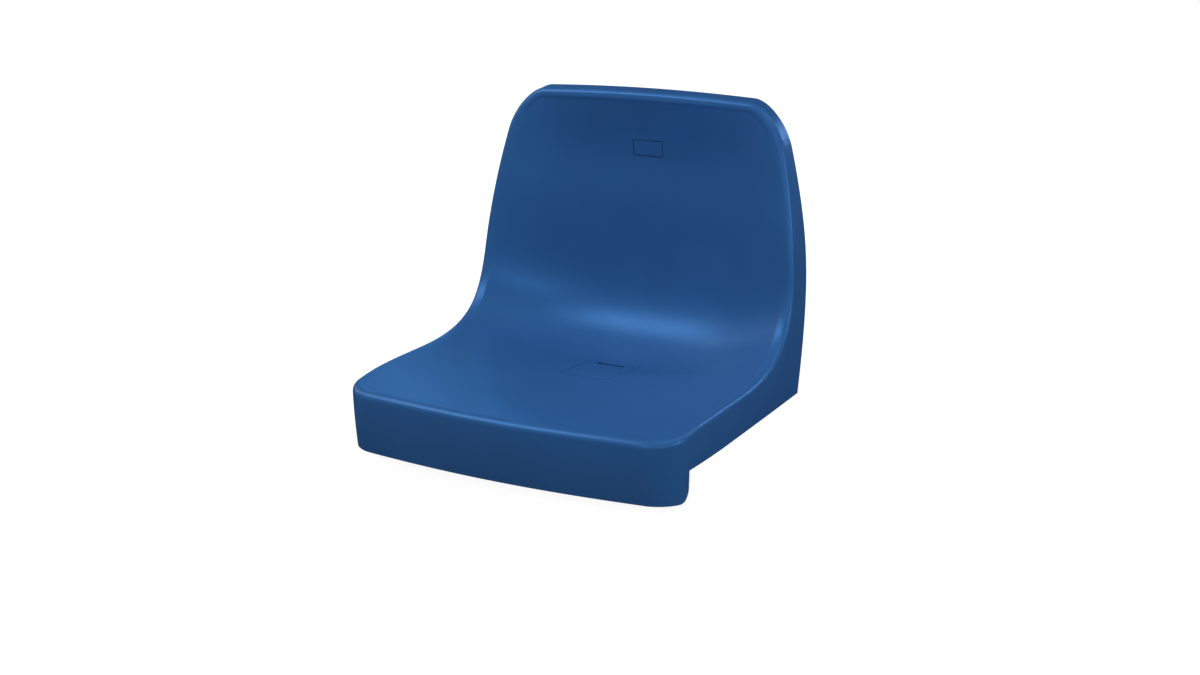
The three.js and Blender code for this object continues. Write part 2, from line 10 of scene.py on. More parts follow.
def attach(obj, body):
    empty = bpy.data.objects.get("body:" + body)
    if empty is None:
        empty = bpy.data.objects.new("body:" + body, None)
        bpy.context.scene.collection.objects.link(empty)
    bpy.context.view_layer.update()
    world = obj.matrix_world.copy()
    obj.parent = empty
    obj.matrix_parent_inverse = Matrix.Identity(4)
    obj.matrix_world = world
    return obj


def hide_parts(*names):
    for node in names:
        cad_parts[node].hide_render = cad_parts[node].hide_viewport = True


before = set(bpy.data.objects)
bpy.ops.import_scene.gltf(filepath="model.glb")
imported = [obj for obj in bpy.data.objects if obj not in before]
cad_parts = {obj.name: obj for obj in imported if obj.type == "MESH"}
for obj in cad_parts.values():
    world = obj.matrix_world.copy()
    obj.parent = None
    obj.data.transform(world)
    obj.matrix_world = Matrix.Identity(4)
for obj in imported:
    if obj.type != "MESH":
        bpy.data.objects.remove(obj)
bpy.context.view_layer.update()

bl_info = {
    "name": "Stadium seat",
    "version": (1, 0, 0),
    "blender": (4, 5, 0),
    "location": "3D View > Sidebar > Stadium seat",
    "description": "Builds a fixed stadium seat with its fixings, and a studio round it",
    "category": "Object",
}

MM = 0.001
# Level at which reflections see the surroundings.
MIRRORED = 0.02


# Sizes and colours


def length(name, description, default):
    return FloatProperty(name=name, description=description, default=default * MM, unit="LENGTH", precision=4)


def angle(name, description, degrees):
    return FloatProperty(name=name, description=description, default=math.radians(degrees), subtype="ANGLE")


def share(name, description, default):
    return FloatProperty(name=name, description=description, default=default, min=0, max=1, subtype="FACTOR")


def colour(name, description, code):
    return StringProperty(name=name, description=description, default=code)


class SeatShellSizes(bpy.types.PropertyGroup):
    """Sizes of the moulded shell"""

    front_y: length("Front edge", "Place of the front edge, from the fixings", -246)
    pan_z: length("Pan rim height", "Height of the pan's rim above the step", 46.5)
    droop: length("Front droop", "How far the front edge drops", 7.5)
    droop_run: length("Droop run", "How far back the droop reaches", 96)
    crook_y: length("Crook start", "Where the rim starts to rise", -66)
    back_y: length("Back start, depth", "Depth at which the straight back starts", 88)
    back_z: length("Back start, height", "Height at which the straight back starts", 145)
    lean: angle("Back lean", "Lean of the backrest's rim", 8)
    top_z: length("Top", "Height of the backrest's rim", 351)
    crook_fullness: share("Crook fullness", "How far the crook fills its corner", 0.76)
    droop_fullness: share("Droop fullness", "How far the droop fills its corner", 0.55)
    half_width: length("Half-width", "Half the shell's width at the pan", 215.5)
    front_half_width: length("Front half-width", "Half-width at the front corners", 207)
    front_taper: length("Front taper", "Length over which the front narrows", 145)
    top_half_width: length("Top half-width", "Half-width at the top corners", 171)
    narrowing: length("Narrowing start", "Length along the rim where the back starts to narrow", 322)
    front_bow: length("Front bow", "Radius of the front edge in plan", 1250)
    top_crown: length("Top crown", "Radius of the top edge", 2700)
    front_corner: length("Front corner", "Run of the rounded front corners", 33)
    top_corner: length("Top corner", "Run of the rounded top corners along the top", 33)
    top_corner_side: length("Top corner, side", "Run of the rounded top corners down the side", 52)
    corner_handle: share("Corner fullness", "How full the rounded corners are", 0.56)
    wall: length("Wall", "Thickness of the moulding", 4)
    roll: length("Roll radius", "Radius of the rolled rim", 7)
    band: length("Rim band", "Flat band behind the roll", 1.5)
    shoulder: length("Shoulder", "Width of the step from the band down to the dish", 6)
    step: length("Step", "Height of that step", 0.6)
    corner_drop: length("Corner drop", "How far the front corners sink below the front edge", 5)
    dish: FloatVectorProperty(
        name="Dish", description="Depths of the dish from the front edge to the top", size=9, unit="LENGTH",
        default=[d * MM for d in (0.5, 8, 15.5, 23.5, 49.5, 42.5, 34.5, 25.5, -5)])
    dish_places: FloatVectorProperty(
        name="Dish places", description="Shares of the rim's length at which those depths lie", size=9,
        default=(0, 0.13, 0.35, 0.42, 0.53, 0.66, 0.76, 0.88, 1))
    dish_power: FloatProperty(name="Dish power", description="How square the dish is across", default=2.3)
    apron_drop: length("Apron drop", "How far the apron hangs below the step's surface", 34.5)
    apron_bow: length("Apron bow", "Radius of the apron's section", 257)
    apron_end: length("Apron end", "Where the apron ends and the notch for the step starts", -190)
    apron_corner: length("Apron corner", "Radius of the apron's lower rear corner", 15)
    rear_low_y: length("Rear edge, low", "Depth of the rear edge at the step", 112.8)
    rear_top_y: length("Rear edge, top", "Depth of the rear edge at the top", 138.5)
    rear_bulge: length("Rear bulge", "Bulge of the rear edge between them", 8)
    pan_flare: angle("Pan flare", "Outward lean of the pan's side skirts", -1)
    back_flare: angle("Back flare", "Outward lean of the back's side flanges", 3)
    top_flare: angle("Top flare", "Outward lean of the top flange", 15)
    rib: length("Rib", "Thickness of the ribs under the pan", 3)
    rib_lift: length("Rib lift", "Height of the ribs' lower edges above the step", 3)
    rib_inset: length("Rib inset", "Distance of the ribs' rear ends from the rear edge", 14)
    rib_top: length("Rib top", "Height up to which the ribs run", 120)
    fineness: IntProperty(name="Fineness", description="Faces for each coarse step", default=5, min=1, max=6)


class CoverSizes(bpy.types.PropertyGroup):
    """Sizes of the fixing well and of the cover over it"""

    width: length("Width", "Width of the cover", 62)
    length: length("Length", "Length of the cover, front to back", 75)
    corner: length("Corner radius", "Radius of the cover's corners in plan", 3)
    thickness: length("Thickness", "Thickness of the cover", 2.6)
    gap: length("Gap", "Gap round the cover", 0.55)
    seating: length("Seating gap", "Gap under the cover's edge", 0.3)
    ledge: length("Ledge", "Width of the ledge that the cover rests on", 4)
    well_wall: length("Well wall", "Thickness of the well's wall", 3.5)
    well_floor: length("Well floor", "Thickness of the well's floor", 6)
    slot_width: length("Grip slot width", "Width of the slot at the cover's rear edge", 35)
    slot_depth: length("Grip slot depth", "Depth of that slot, front to back", 5.5)
    slot_corner: length("Grip slot radius", "Radius of that slot's corners", 0.5)
    leg_width: length("Leg width", "Width of the cover's legs", 9)
    leg_thickness: length("Leg thickness", "Thickness of the legs", 2)
    leg_length: length("Leg length", "How far the legs reach below the cover", 11)
    leg_edge: length("Leg edge radius", "Radius of the legs' edges", 0.4)
    leg_place: share("Leg place", "Share of the length at which the legs stand", 0.27)
    drain: length("Drain radius", "Radius of the drain holes in the well", 3)


class FixingSizes(bpy.types.PropertyGroup):
    """Sizes of the bolts, washers and plugs"""

    washer_clearance: length("Washer clearance", "Distance of the washers from the well's wall", 1.5)
    bolt: length("Bolt radius", "Radius of the shank", 4)
    pitch: length("Thread pitch", "Distance from one thread to the next", 1.25)
    flats: length("Across flats", "Width of the hexagon head", 13)
    head: length("Head height", "Height of the head", 5.3)
    bolt_length: length("Bolt length", "Length of the shank", 66)
    thread_share: share("Threaded share", "Share of the shank that carries the thread", 0.62)
    thread_depth: share("Thread depth", "Depth of the thread, as a share of its pitch", 0.54)
    slot_play: length("Slot play", "Clearance of the bolt in its slot", 0.6)
    slot_travel: length("Slot travel", "Sideways adjustment of the bolt, each way", 4)
    washer: length("Washer radius", "Outer radius of the washers", 12)
    washer_thickness: length("Washer thickness", "Thickness of the washers", 1.6)
    washer_edge: length("Washer edge", "Radius of the washers' rolled-over edges", 0.35)
    plug: length("Plug radius", "Radius of the expansion plugs", 6)
    plug_length: length("Plug length", "Length of the plugs", 60)
    plug_recess: length("Plug recess", "Depth of the plugs below the step's surface", 3)
    plug_slit: length("Plug slit", "Width of the plug's slits", 1)
    plug_slit_share: share("Plug slit length", "Share of the plug that is slit", 0.7)
    plug_collar: length("Plug collar", "Height of the plug's plain collar", 1.5)
    barbs: IntProperty(name="Barbs", description="Number of barbs on a plug", default=10)
    barb_spacing: length("Barb spacing", "Distance from one barb to the next", 5.2)
    barb_depth: length("Barb depth", "How far the barbs stand out", 0.7)
    barb_rise: length("Barb rise", "Height over which a barb widens", 2.4)
    barb_height: length("Barb height", "Height of a barb", 2.8)
    gap: length("Running gap", "Gap left between neighbouring pieces", 0.3)


class PlateSizes(bpy.types.PropertyGroup):
    """Sizes of the number plate and its clips"""

    width: length("Width", "Width of the plate", 39.5)
    height: length("Height", "Height of the plate", 19.5)
    thickness: length("Thickness", "Thickness of the plate", 1.6)
    corner: length("Corner radius", "Radius of its corners", 1.2)
    edge: length("Edge radius", "Width of the plate's bevelled edge", 0.25)
    gap: length("Gap", "Gap round the plate", 0.45)
    place: share("Place", "Share of the rim's length at which the plate lies", 0.883)
    peg: length("Peg radius", "Radius of the pegs", 1.5)
    peg_spacing: length("Peg spacing", "Distance between the pegs", 26)
    peg_length: length("Peg length", "Length of the pegs behind the plate", 5.6)
    clip: length("Clip radius", "Outer radius of the push-on clips", 4.5)
    clip_thickness: length("Clip thickness", "Thickness of the clips", 0.8)
    clip_edge: length("Clip edge", "Width of the clips' bevelled edges", 0.15)
    clip_slit: length("Clip slit", "Width of the slits between the clip's tongues", 0.8)
    clip_reach: length("Clip slit reach", "Reach of those slits from the middle", 3.4)


class FinishColours(bpy.types.PropertyGroup):
    """Colours of the finishes"""

    plastic: colour("Plastic", "Blue of the moulded shell", "2C5A93")
    zinc: colour("Zinc", "Zinc plating of the bolts, washers and clips", "C3C7CA")
    nylon: colour("Nylon", "Grey nylon of the plugs", "8C8F91")
    floor: colour("Floor", "Pale step that the seat stands on", "A8A8A8")


# Rules of the shell's shape


def smooth(low, high, value):
    t = np.clip((value - low) / (high - low), 0, 1)
    return t * t * (3 - 2 * t)


def lerp(a, b, t):
    return a + (b - a) * t


def bezier(controls, t):
    """Points of a Bezier curve and its derivatives, at the parameters t."""
    t = np.asarray(t, float)[:, None]
    controls = [np.asarray(c, float) for c in controls]
    n = len(controls) - 1
    points = sum(math.comb(n, k) * t**k * (1 - t) ** (n - k) * c for k, c in enumerate(controls))
    steps = [n * (b - a) for a, b in zip(controls, controls[1:])]
    slopes = sum(math.comb(n - 1, k) * t**k * (1 - t) ** (n - 1 - k) * c for k, c in enumerate(steps))
    return points, slopes


class SideRim:
    """The rim in the side view: a drooping front edge, a level pan, a crook and a leaning back."""

    samples = 600

    def __init__(self, z):
        slope = math.tan(z.lean)
        top = (z.back_y + slope * (z.top_z - z.back_z), z.top_z)
        droop_end = (z.front_y + z.droop_run, z.pan_z)
        crook_start, crook_end = np.array((z.crook_y, z.pan_z)), np.array((z.back_y, z.back_z))
        corner = np.array((z.back_y - slope * (z.back_z - z.pan_z), z.pan_z))
        pieces = [
            [(z.front_y, z.pan_z - z.droop), (z.front_y + z.droop_run * z.droop_fullness, z.pan_z),
             droop_end],
            [droop_end, crook_start],
            [crook_start, lerp(crook_start, corner, z.crook_fullness),
             lerp(crook_end, corner, z.crook_fullness), crook_end],
            [crook_end, top],
        ]
        points, ways, ends = [], [], []
        for controls in pieces:
            p, d = bezier(controls, np.linspace(0, 1, self.samples))
            points.append(p if not points else p[1:])
            ways.append(d if not ways else d[1:])
            ends.append(sum(len(x) for x in points) - 1)
        self.points = np.concatenate(points)
        ways = np.concatenate(ways)
        self.ways = ways / np.linalg.norm(ways, axis=1, keepdims=True)
        steps = np.linalg.norm(np.diff(self.points, axis=0), axis=1)
        self.s = np.concatenate([[0], np.cumsum(steps)])
        self.droop_end, self.pan_end, self.crook_end, self.total = self.s[ends]

    def place(self, s):
        """The rim's points at the lengths s, the ways along it and the ways behind it."""
        s = np.clip(s, 0, self.total)
        point = np.stack([np.interp(s, self.s, self.points[:, k]) for k in (0, 1)], -1)
        along = np.stack([np.interp(s, self.s, self.ways[:, k]) for k in (0, 1)], -1)
        along /= np.linalg.norm(along, axis=-1, keepdims=True)
        level = (s < self.pan_end)[..., None]
        behind = np.where(level, (0.0, -1.0), np.stack([along[..., 1], -along[..., 0]], -1))
        return point, along, behind


class SeatShape:
    """The shell's visible face as a rule: a point for every place across it and along its rim."""

    def __init__(self, z):
        self.z = z
        self.rim = SideRim(z)
        self.rim_run = z.roll + z.band + z.shoulder
        self.loop, self.columns, self.rows = self.outline()
        after, before = np.roll(self.loop, -1, axis=0), np.roll(self.loop, 1, axis=0)
        side = after - before
        outward = np.stack([side[:, 1], -side[:, 0]], -1)
        self.outward = outward / np.linalg.norm(outward, axis=1, keepdims=True)

    def half_width(self, s):
        z, total = self.z, self.rim.total
        taper = np.maximum(0, 1 - s / z.front_taper) ** 2
        narrow = np.maximum(0, (s - z.narrowing) / (total - z.narrowing)) ** 2
        to_front, to_top = z.half_width - z.front_half_width, z.half_width - z.top_half_width
        return z.half_width - to_front * taper - to_top * narrow

    def front_edge(self, x):
        return x * x / (2 * self.z.front_bow)

    def top_edge(self, x):
        return self.rim.total - x * x / (2 * self.z.top_crown)

    def outline(self):
        """The flattened outline as one loop of (x, s) points, with its counts across and along."""
        z, rim, n = self.z, self.rim, self.z.fineness
        probe = 10 * MM

        def rise(edge, at):
            return float(edge(at + probe) - edge(at - probe))

        def corner(start, way_in, run_in, end, way_out, run_out):
            start, end = np.array(start, float), np.array(end, float)
            way_in, way_out = (np.array(w) / np.linalg.norm(w) for w in (way_in, way_out))
            handles = start + way_in * run_in * z.corner_handle, end + way_out * run_out * z.corner_handle
            return [start, *handles, end]

        front_x = z.front_half_width - z.front_corner
        side_start = self.front_edge(z.front_half_width) + z.front_corner
        side_end = self.top_edge(z.top_half_width) - z.top_corner_side
        top_x = z.top_half_width - z.top_corner
        front_corner = corner(
            (front_x, self.front_edge(front_x)), (2 * probe, rise(self.front_edge, front_x)), z.front_corner,
            (self.half_width(side_start), side_start), (-rise(self.half_width, side_start), -2 * probe),
            z.front_corner)
        top_corner = corner(
            (self.half_width(side_end), side_end), (rise(self.half_width, side_end), 2 * probe),
            z.top_corner_side,
            (top_x, self.top_edge(top_x)), (2 * probe, rise(self.top_edge, top_x)), z.top_corner)

        def part(curve, start, end):
            return bezier(curve, np.linspace(start, end, 4 * n, endpoint=False))[0]

        def spread(start, end, steps):
            return np.linspace(start, end, steps * n, endpoint=False)

        def edge(curve, x):
            return np.stack([x, curve(x)], -1)

        stations = np.concatenate([
            spread(side_start, rim.pan_end, 6), spread(rim.pan_end, rim.crook_end, 10),
            spread(rim.crook_end, side_end, 8)])
        middle = [bezier(curve, [0.5])[0] for curve in (front_corner, top_corner)]
        front = np.concatenate([
            edge(self.front_edge, spread(0, front_x, 6)), part(front_corner, 0, 0.5), middle[0]])
        side = np.concatenate([
            part(front_corner, 0.5, 1), np.stack([self.half_width(stations), stations], -1),
            part(top_corner, 0, 0.5), middle[1]])
        top = np.concatenate([
            edge(self.top_edge, spread(0, top_x, 6)), part(top_corner, 1, 0.5), middle[1]])
        mirror = np.array((-1, 1))
        whole_front = np.concatenate([front[:0:-1] * mirror, front])
        whole_top = np.concatenate([top[:0:-1] * mirror, top])[::-1]
        down = (side * mirror)[::-1]
        loop = np.concatenate([whole_front[:-1], side[:-1], whole_top[:-1], down[:-1]])
        return loop, len(whole_front) - 1, len(side) - 1

    def dish_depth(self, x, s):
        """Depth of the dish behind the rim. It fades from the middle of the seat to nothing at the sides."""
        places = np.array(self.z.dish_places) * self.rim.total
        depths = np.array(self.z.dish)
        slopes = np.diff(depths) / np.diff(places)
        turns = np.concatenate([slopes[:1], (slopes[1:] + slopes[:-1]) / 2, slopes[-1:]])
        s_in = np.clip(s, 0, self.rim.total)
        k = np.clip(np.searchsorted(places, s_in, side="right") - 1, 0, len(places) - 2)
        run = places[k + 1] - places[k]
        t = (s_in - places[k]) / run
        middle = ((1 + 2 * t) * (1 - t) ** 2 * depths[k] + t * (1 - t) ** 2 * run * turns[k]
                  + t * t * (3 - 2 * t) * depths[k + 1] + t * t * (t - 1) * run * turns[k + 1])
        across = np.minimum(1, np.abs(x) / (self.half_width(s) - self.rim_run))
        return self.z.step + middle * (1 - across**self.z.dish_power)

    def corner_sink(self, x, s):
        """How far the rim sinks towards the front corners."""
        near_front = np.maximum(0, 1 - s / self.z.front_taper) ** 2
        return self.z.corner_drop * near_front * (x / self.z.front_half_width) ** 4

    def behind_rim(self, x, s, depth):
        point, _, behind = self.rim.place(s)
        yz = point + behind * (depth + self.corner_sink(x, s))[..., None]
        return np.stack([x * np.ones_like(yz[..., 0]), yz[..., 0], yz[..., 1]], -1)

    def face(self, x, s):
        x, s = np.asarray(x, float), np.asarray(s, float)
        return self.behind_rim(x, s, self.dish_depth(x, s))

    def rear_edge(self, height):
        part = height / self.z.top_z
        bulge = np.maximum(0, part * (1 - part) ** 2) * 27 / 4
        return lerp(self.z.rear_low_y, self.z.rear_top_y, part) + self.z.rear_bulge * bulge

    def skirt_end(self, s):
        """How far the skirt reaches behind the rim: to the rear edge, or past the apron's bottom."""
        point, _, behind = self.rim.place(s)
        drop = point[:, 1] + self.z.apron_drop + 10 * MM
        with np.errstate(divide="ignore"):
            to_floor = np.where(behind[:, 1] < -1e-9, drop / np.maximum(-behind[:, 1], 1e-9), np.inf)
        limit = np.minimum(to_floor, self.rim.total)

        def is_past(reach):
            at = point + behind * reach[:, None]
            return at[:, 0] > self.rear_edge(at[:, 1])

        near, far = np.zeros_like(limit), limit.copy()
        for _ in range(40):
            middle = (near + far) / 2
            past = is_past(middle)
            near, far = np.where(past, near, middle), np.where(past, middle, far)
        return np.where(is_past(limit), far, limit)

    def ring_points(self, inset, depth):
        at = self.loop - self.outward * inset
        return self.behind_rim(at[:, 0], at[:, 1], depth(at) if callable(depth) else np.full(len(at), depth))

    def skirt_points(self, depth):
        z, s, way = self.z, self.loop[:, 1], self.outward
        point, along, behind = self.rim.place(s)
        reach = depth - z.roll
        back = smooth(z.narrowing, (z.narrowing + self.rim.total) / 2, s)
        side_slope = np.tan(lerp(z.pan_flare, z.back_flare, back))
        in_front, on_top = np.maximum(0, -way[:, 1]) ** 2, np.maximum(0, way[:, 1]) ** 2
        flare = (way[:, 0] ** 2 * side_slope * reach + on_top * math.tan(z.top_flare) * reach
                 - in_front * reach**2 / (2 * z.apron_bow))
        sunk = depth + self.corner_sink(self.loop[:, 0], s)
        yz = point + behind * sunk[:, None] + along * (way[:, 1] * flare)[:, None]
        return np.stack([self.loop[:, 0] + way[:, 0] * flare, yz[:, 0], yz[:, 1]], -1)

    def rings(self):
        """Rings from the dish's edge out over the shoulder and the roll, and down the skirt."""
        z, n = self.z, self.z.fineness
        crest, made = z.roll + z.band, []
        for k in range(1, 3 * n):
            part = k / (3 * n - 1)
            fade = 1 - smooth(0, 1, part)
            made.append(self.ring_points(
                lerp(self.rim_run, crest, part), lambda at, f=fade: self.dish_depth(at[:, 0], at[:, 1]) * f))
        for turn in np.linspace(math.pi / 2, 0, 3 * n):
            made.append(self.ring_points(z.roll * (1 - math.cos(turn)), z.roll * (1 - math.sin(turn))))
        end = self.skirt_end(self.loop[:, 1])
        for part in np.linspace(0, 1, 4 * n + 1)[1:]:
            made.append(self.skirt_points(lerp(z.roll, end, part)))
        return made

    def grid(self):
        """Grid of the dish, blended from the loop that the rings start from."""
        inner = self.loop - self.outward * self.rim_run
        c, r = self.columns, self.rows
        front, right = inner[:c + 1], inner[c:c + r + 1]
        top = inner[c + r:2 * c + r + 1][::-1]
        up = ((right[:, 1] - right[0, 1]) / (right[-1, 1] - right[0, 1]))[:, None]
        across = (2 * np.arange(c + 1) / c - 1)[None, :]
        x = (across * right[:, :1] + (1 - up) * (front[None, :, 0] - across * right[0, 0])
             + up * (top[None, :, 0] - across * right[-1, 0]))
        s = (right[:, 1:] + (1 - up) * (front[None, :, 1] - right[0, 1])
             + up * (top[None, :, 1] - right[-1, 1]))
        return self.face(x, s).reshape(-1, 3)

    def surface(self):
        """The whole visible face: its points, its quads facing out, and the loop of its free edge."""
        c, r = self.columns, self.rows
        index = np.arange((c + 1) * (r + 1)).reshape(r + 1, c + 1)
        corners = index[:-1, :-1], index[:-1, 1:], index[1:, 1:], index[1:, :-1]
        quads = [np.stack(corners, -1).reshape(-1, 4)]
        ring = np.concatenate([index[0, :-1], index[:-1, -1], index[-1, :0:-1], index[:0:-1, 0]])
        points, count = [self.grid()], (c + 1) * (r + 1)
        for outer in self.rings():
            following = count + np.arange(len(ring))
            quads.append(np.stack([ring, following, np.roll(following, -1), np.roll(ring, -1)], -1))
            points.append(outer)
            ring, count = following, count + len(ring)
        return np.concatenate(points), np.concatenate(quads), ring


# Meshes


def mesh_object(name, points, faces):
    mesh = bpy.data.meshes.new(name)
    mesh.from_pydata([tuple(p) for p in points], [], [tuple(int(i) for i in f) for f in faces])
    mesh.update()
    made = bpy.data.objects.new(name, mesh)
    bpy.context.scene.collection.objects.link(made)
    return made


def vertex_normals(points, quads):
    a, b, c, d = (points[quads[:, k]] for k in range(4))
    normal = np.cross(c - a, d - b)
    total = np.zeros_like(points)
    for k in range(4):
        np.add.at(total, quads[:, k], normal)
    return total / np.linalg.norm(total, axis=1, keepdims=True)


def skin_solid(shape):
    """The moulding's wall: the visible face, the hidden face one wall behind it, and the strip between."""
    points, quads, edge = shape.surface()
    hidden = points - vertex_normals(points, quads) * shape.z.wall
    count = len(points)
    strip = np.stack([edge, edge + count, np.roll(edge, -1) + count, np.roll(edge, -1)], -1)
    return np.concatenate([points, hidden]), np.concatenate([quads, quads[:, ::-1] + count, strip])


def room_solid(shape):
    """The room behind the face, for the ribs and the well. It takes in half the wall, so they join it."""
    points, quads, edge = shape.surface()
    inner = points - vertex_normals(points, quads) * shape.z.wall / 2
    tip = np.array([[0, shape.z.rear_top_y + 20 * MM, -10 * MM]])
    count = len(points)
    fan = [(a, count, b) for a, b in zip(edge, np.roll(edge, -1))]
    return np.concatenate([inner, tip]), [*quads.tolist(), *fan]


def pad(outline, low, high, rings=1):
    """A closed solid over a star-shaped outline, between two heights that are numbers or rules of x and y."""
    outline = np.asarray(outline, float)
    middle, n = outline.mean(0), len(outline)
    flat = [middle[None]] + [middle + (outline - middle) * k / rings for k in range(1, rings + 1)]
    flat = np.concatenate(flat)
    layers = []
    for height in (low, high):
        z = height(flat[:, 0], flat[:, 1]) if callable(height) else np.full(len(flat), float(height))
        layers.append(np.column_stack([flat, z]))
    faces, count = [], len(flat)
    for k in range(n):
        after = (k + 1) % n
        faces += [(0, 1 + after, 1 + k), (count, count + 1 + k, count + 1 + after)]
        for ring in range(rings - 1):
            a, b = 1 + ring * n, 1 + (ring + 1) * n
            faces.append((a + k, a + after, b + after, b + k))
            faces.append((count + a + k, count + b + k, count + b + after, count + a + after))
        rim = 1 + (rings - 1) * n
        faces.append((rim + k, rim + after, count + rim + after, count + rim + k))
    return np.concatenate(layers), faces


def rounded(half_width, low, high, radius, steps=6, side=1):
    """Outline of a rounded rectangle, anticlockwise, with its long sides divided into pieces."""
    corners = [((half_width - radius, low + radius), -90), ((half_width - radius, high - radius), 0),
               ((-half_width + radius, high - radius), 90), ((-half_width + radius, low + radius), 180)]
    points = []
    for (x, y), start in corners:
        turns = np.radians(np.linspace(start, start + 90, steps + 1))
        points += [(x + radius * math.cos(t), y + radius * math.sin(t)) for t in turns]
    divided = []
    for a, b in zip(points, points[1:] + points[:1]):
        far = math.dist(a, b) > 3 * radius
        divided += [tuple(lerp(np.array(a), np.array(b), k / side)) for k in range(side if far else 1)]
    return np.array(divided)


def circle(x, y, radius, count=48):
    turns = np.linspace(0, 2 * math.pi, count, endpoint=False)
    return np.column_stack([x + radius * np.cos(turns), y + radius * np.sin(turns)])


def merged(*solids):
    """Several solids' points and faces as one mesh. They don't touch one another."""
    points, faces, count = [], [], 0
    for some, its_faces in solids:
        points.append(some)
        faces += [tuple(i + count for i in f) for f in its_faces]
        count += len(some)
    return np.concatenate(points), faces


def placed(matrix, solid):
    points, faces = solid
    matrix = np.array(matrix)
    return points @ matrix[:3, :3].T + matrix[:3, 3], faces


def tube(rings, closed=False):
    """A solid over a stack of equal rings, which is capped at both ends or closes on itself."""
    n, rows = len(rings[0]), len(rings)
    faces = [] if closed else [tuple(range(n))[::-1], tuple(range((rows - 1) * n, rows * n))]
    for row in range(rows if closed else rows - 1):
        a, b = row * n, (row + 1) % rows * n
        faces += [(a + k, a + (k + 1) % n, b + (k + 1) % n, b + k) for k in range(n)]
    return np.concatenate(rings), faces


def extruded(profile, low, high):
    """A prism along x over a profile of (y, z) points, anticlockwise seen from +x."""
    return tube([np.column_stack([np.full(len(profile), x), profile]) for x in (low, high)])


def lathe(profile, count=64):
    """A solid of revolution about z, from (radius, z) points that go once round its section."""
    turns = np.linspace(0, 2 * math.pi, count, endpoint=False)
    rings = [np.column_stack([r * np.cos(turns), r * np.sin(turns), np.full(count, z)]) for r, z in profile]
    return tube(rings, closed=True)


def face_height(shape):
    """The rule for the height of the seat's face over points of the step, found along lines of constant x."""
    s = np.linspace(shape.rim.droop_end / 2, shape.rim.crook_end, 500)

    def height(x, y):
        z = np.empty_like(x)
        for value in np.unique(np.round(x, 6)):
            here = np.abs(x - value) < 1e-6
            line = shape.face(np.full(len(s), value), s)
            z[here] = np.interp(y[here], line[:, 1], line[:, 2])
        return z

    return height


# Nodes


def add(tree, kind, inputs=None, **settings):
    """Adds a node with its settings, then fills its inputs from sockets, lists of sockets or plain values."""
    made = tree.nodes.new(kind)
    for name, value in settings.items():
        setattr(made, name, value)
    for key, value in (inputs or {}).items():
        socket = made.inputs[key]
        sources = value if isinstance(value, list) else [value]
        if isinstance(sources[0], bpy.types.NodeSocket):
            for source in sources:
                tree.links.new(source, socket)
        else:
            socket.default_value = value
    return made


def new_tree(name, sizes=(), objects=(), counts=()):
    """A Geometry Nodes tree, and what it is given by name: its inputs, and the geometry of its objects."""
    tree = bpy.data.node_groups.new(name, "GeometryNodeTree")
    tree.interface.new_socket("Geometry", in_out="OUTPUT", socket_type="NodeSocketGeometry")
    kinds = {
        "Geometry": ("Geometry",), "Float": sizes, "Object": objects, "Int": counts, "Material": ("Finish",)}
    for kind, names in kinds.items():
        for wanted in names:
            tree.interface.new_socket(wanted, in_out="INPUT", socket_type=f"NodeSocket{kind}")
    given = {socket.name: socket for socket in add(tree, "NodeGroupInput").outputs}
    for wanted in objects:
        given[wanted] = add(tree, "GeometryNodeObjectInfo", {"Object": given[wanted]}).outputs["Geometry"]
    return tree, given


def row(tree, piece, count, start, offset):
    """Copies of a piece in a row, made real."""
    line = add(tree, "GeometryNodeMeshLine", {"Count": count, "Start Location": start, "Offset": offset})
    copies = add(tree, "GeometryNodeInstanceOnPoints", {"Points": line.outputs[0], "Instance": piece})
    return add(tree, "GeometryNodeRealizeInstances", {"Geometry": copies.outputs[0]}).outputs[0]


def finish_tree(tree, given, geometry, crease=35):
    """Ends a tree: edges sharper than the crease stay sharp, all is made real and it gets the finish."""
    turn = add(tree, "GeometryNodeInputMeshEdgeAngle")
    sharp = add(tree, "FunctionNodeCompare", {0: turn.outputs[0], 1: math.radians(crease)},
                operation="GREATER_THAN")
    smooth_faces = add(tree, "GeometryNodeSetShadeSmooth", {"Geometry": geometry, "Shade Smooth": True})
    creased = add(tree, "GeometryNodeSetShadeSmooth", {
        "Geometry": smooth_faces.outputs[0], "Selection": sharp.outputs[0], "Shade Smooth": False},
        domain="EDGE")
    real = add(tree, "GeometryNodeRealizeInstances", {"Geometry": creased.outputs[0]})
    painted = add(tree, "GeometryNodeSetMaterial", {"Geometry": real.outputs[0], "Material": given["Finish"]})
    add(tree, "NodeGroupOutput", {"Geometry": painted.outputs[0]})


def hand_in(piece, node, body="seat"):
    """Hides the node of the construction that the piece replaces, and puts the piece on the body it rides on.
    """
    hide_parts(node)
    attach(piece, body)


def make_piece(name, start, tree, values, place=Matrix()):
    """Runs a tree on the object start, with values by input name, and puts the result in place as a mesh."""
    modifier = start.modifiers.new("Nodes", "NODES")
    modifier.node_group = tree
    for item in tree.interface.items_tree:
        if item.in_out == "INPUT" and item.name in values:
            modifier[item.identifier] = values[item.name]
    bpy.context.view_layer.update()
    depsgraph = bpy.context.evaluated_depsgraph_get()
    mesh = bpy.data.meshes.new_from_object(start.evaluated_get(depsgraph), depsgraph=depsgraph)
    start.modifiers.remove(modifier)
    for used in [start, *(v for v in values.values() if isinstance(v, bpy.types.Object))]:
        bpy.data.objects.remove(used)
    if not mesh.polygons:
        raise RuntimeError(f"the tree {tree.name} gave no faces for {name}")
    mesh.name = name
    mesh.transform(place)
    made = bpy.data.objects.new(name, mesh)
    bpy.context.scene.collection.objects.link(made)
    return made


# Finishes


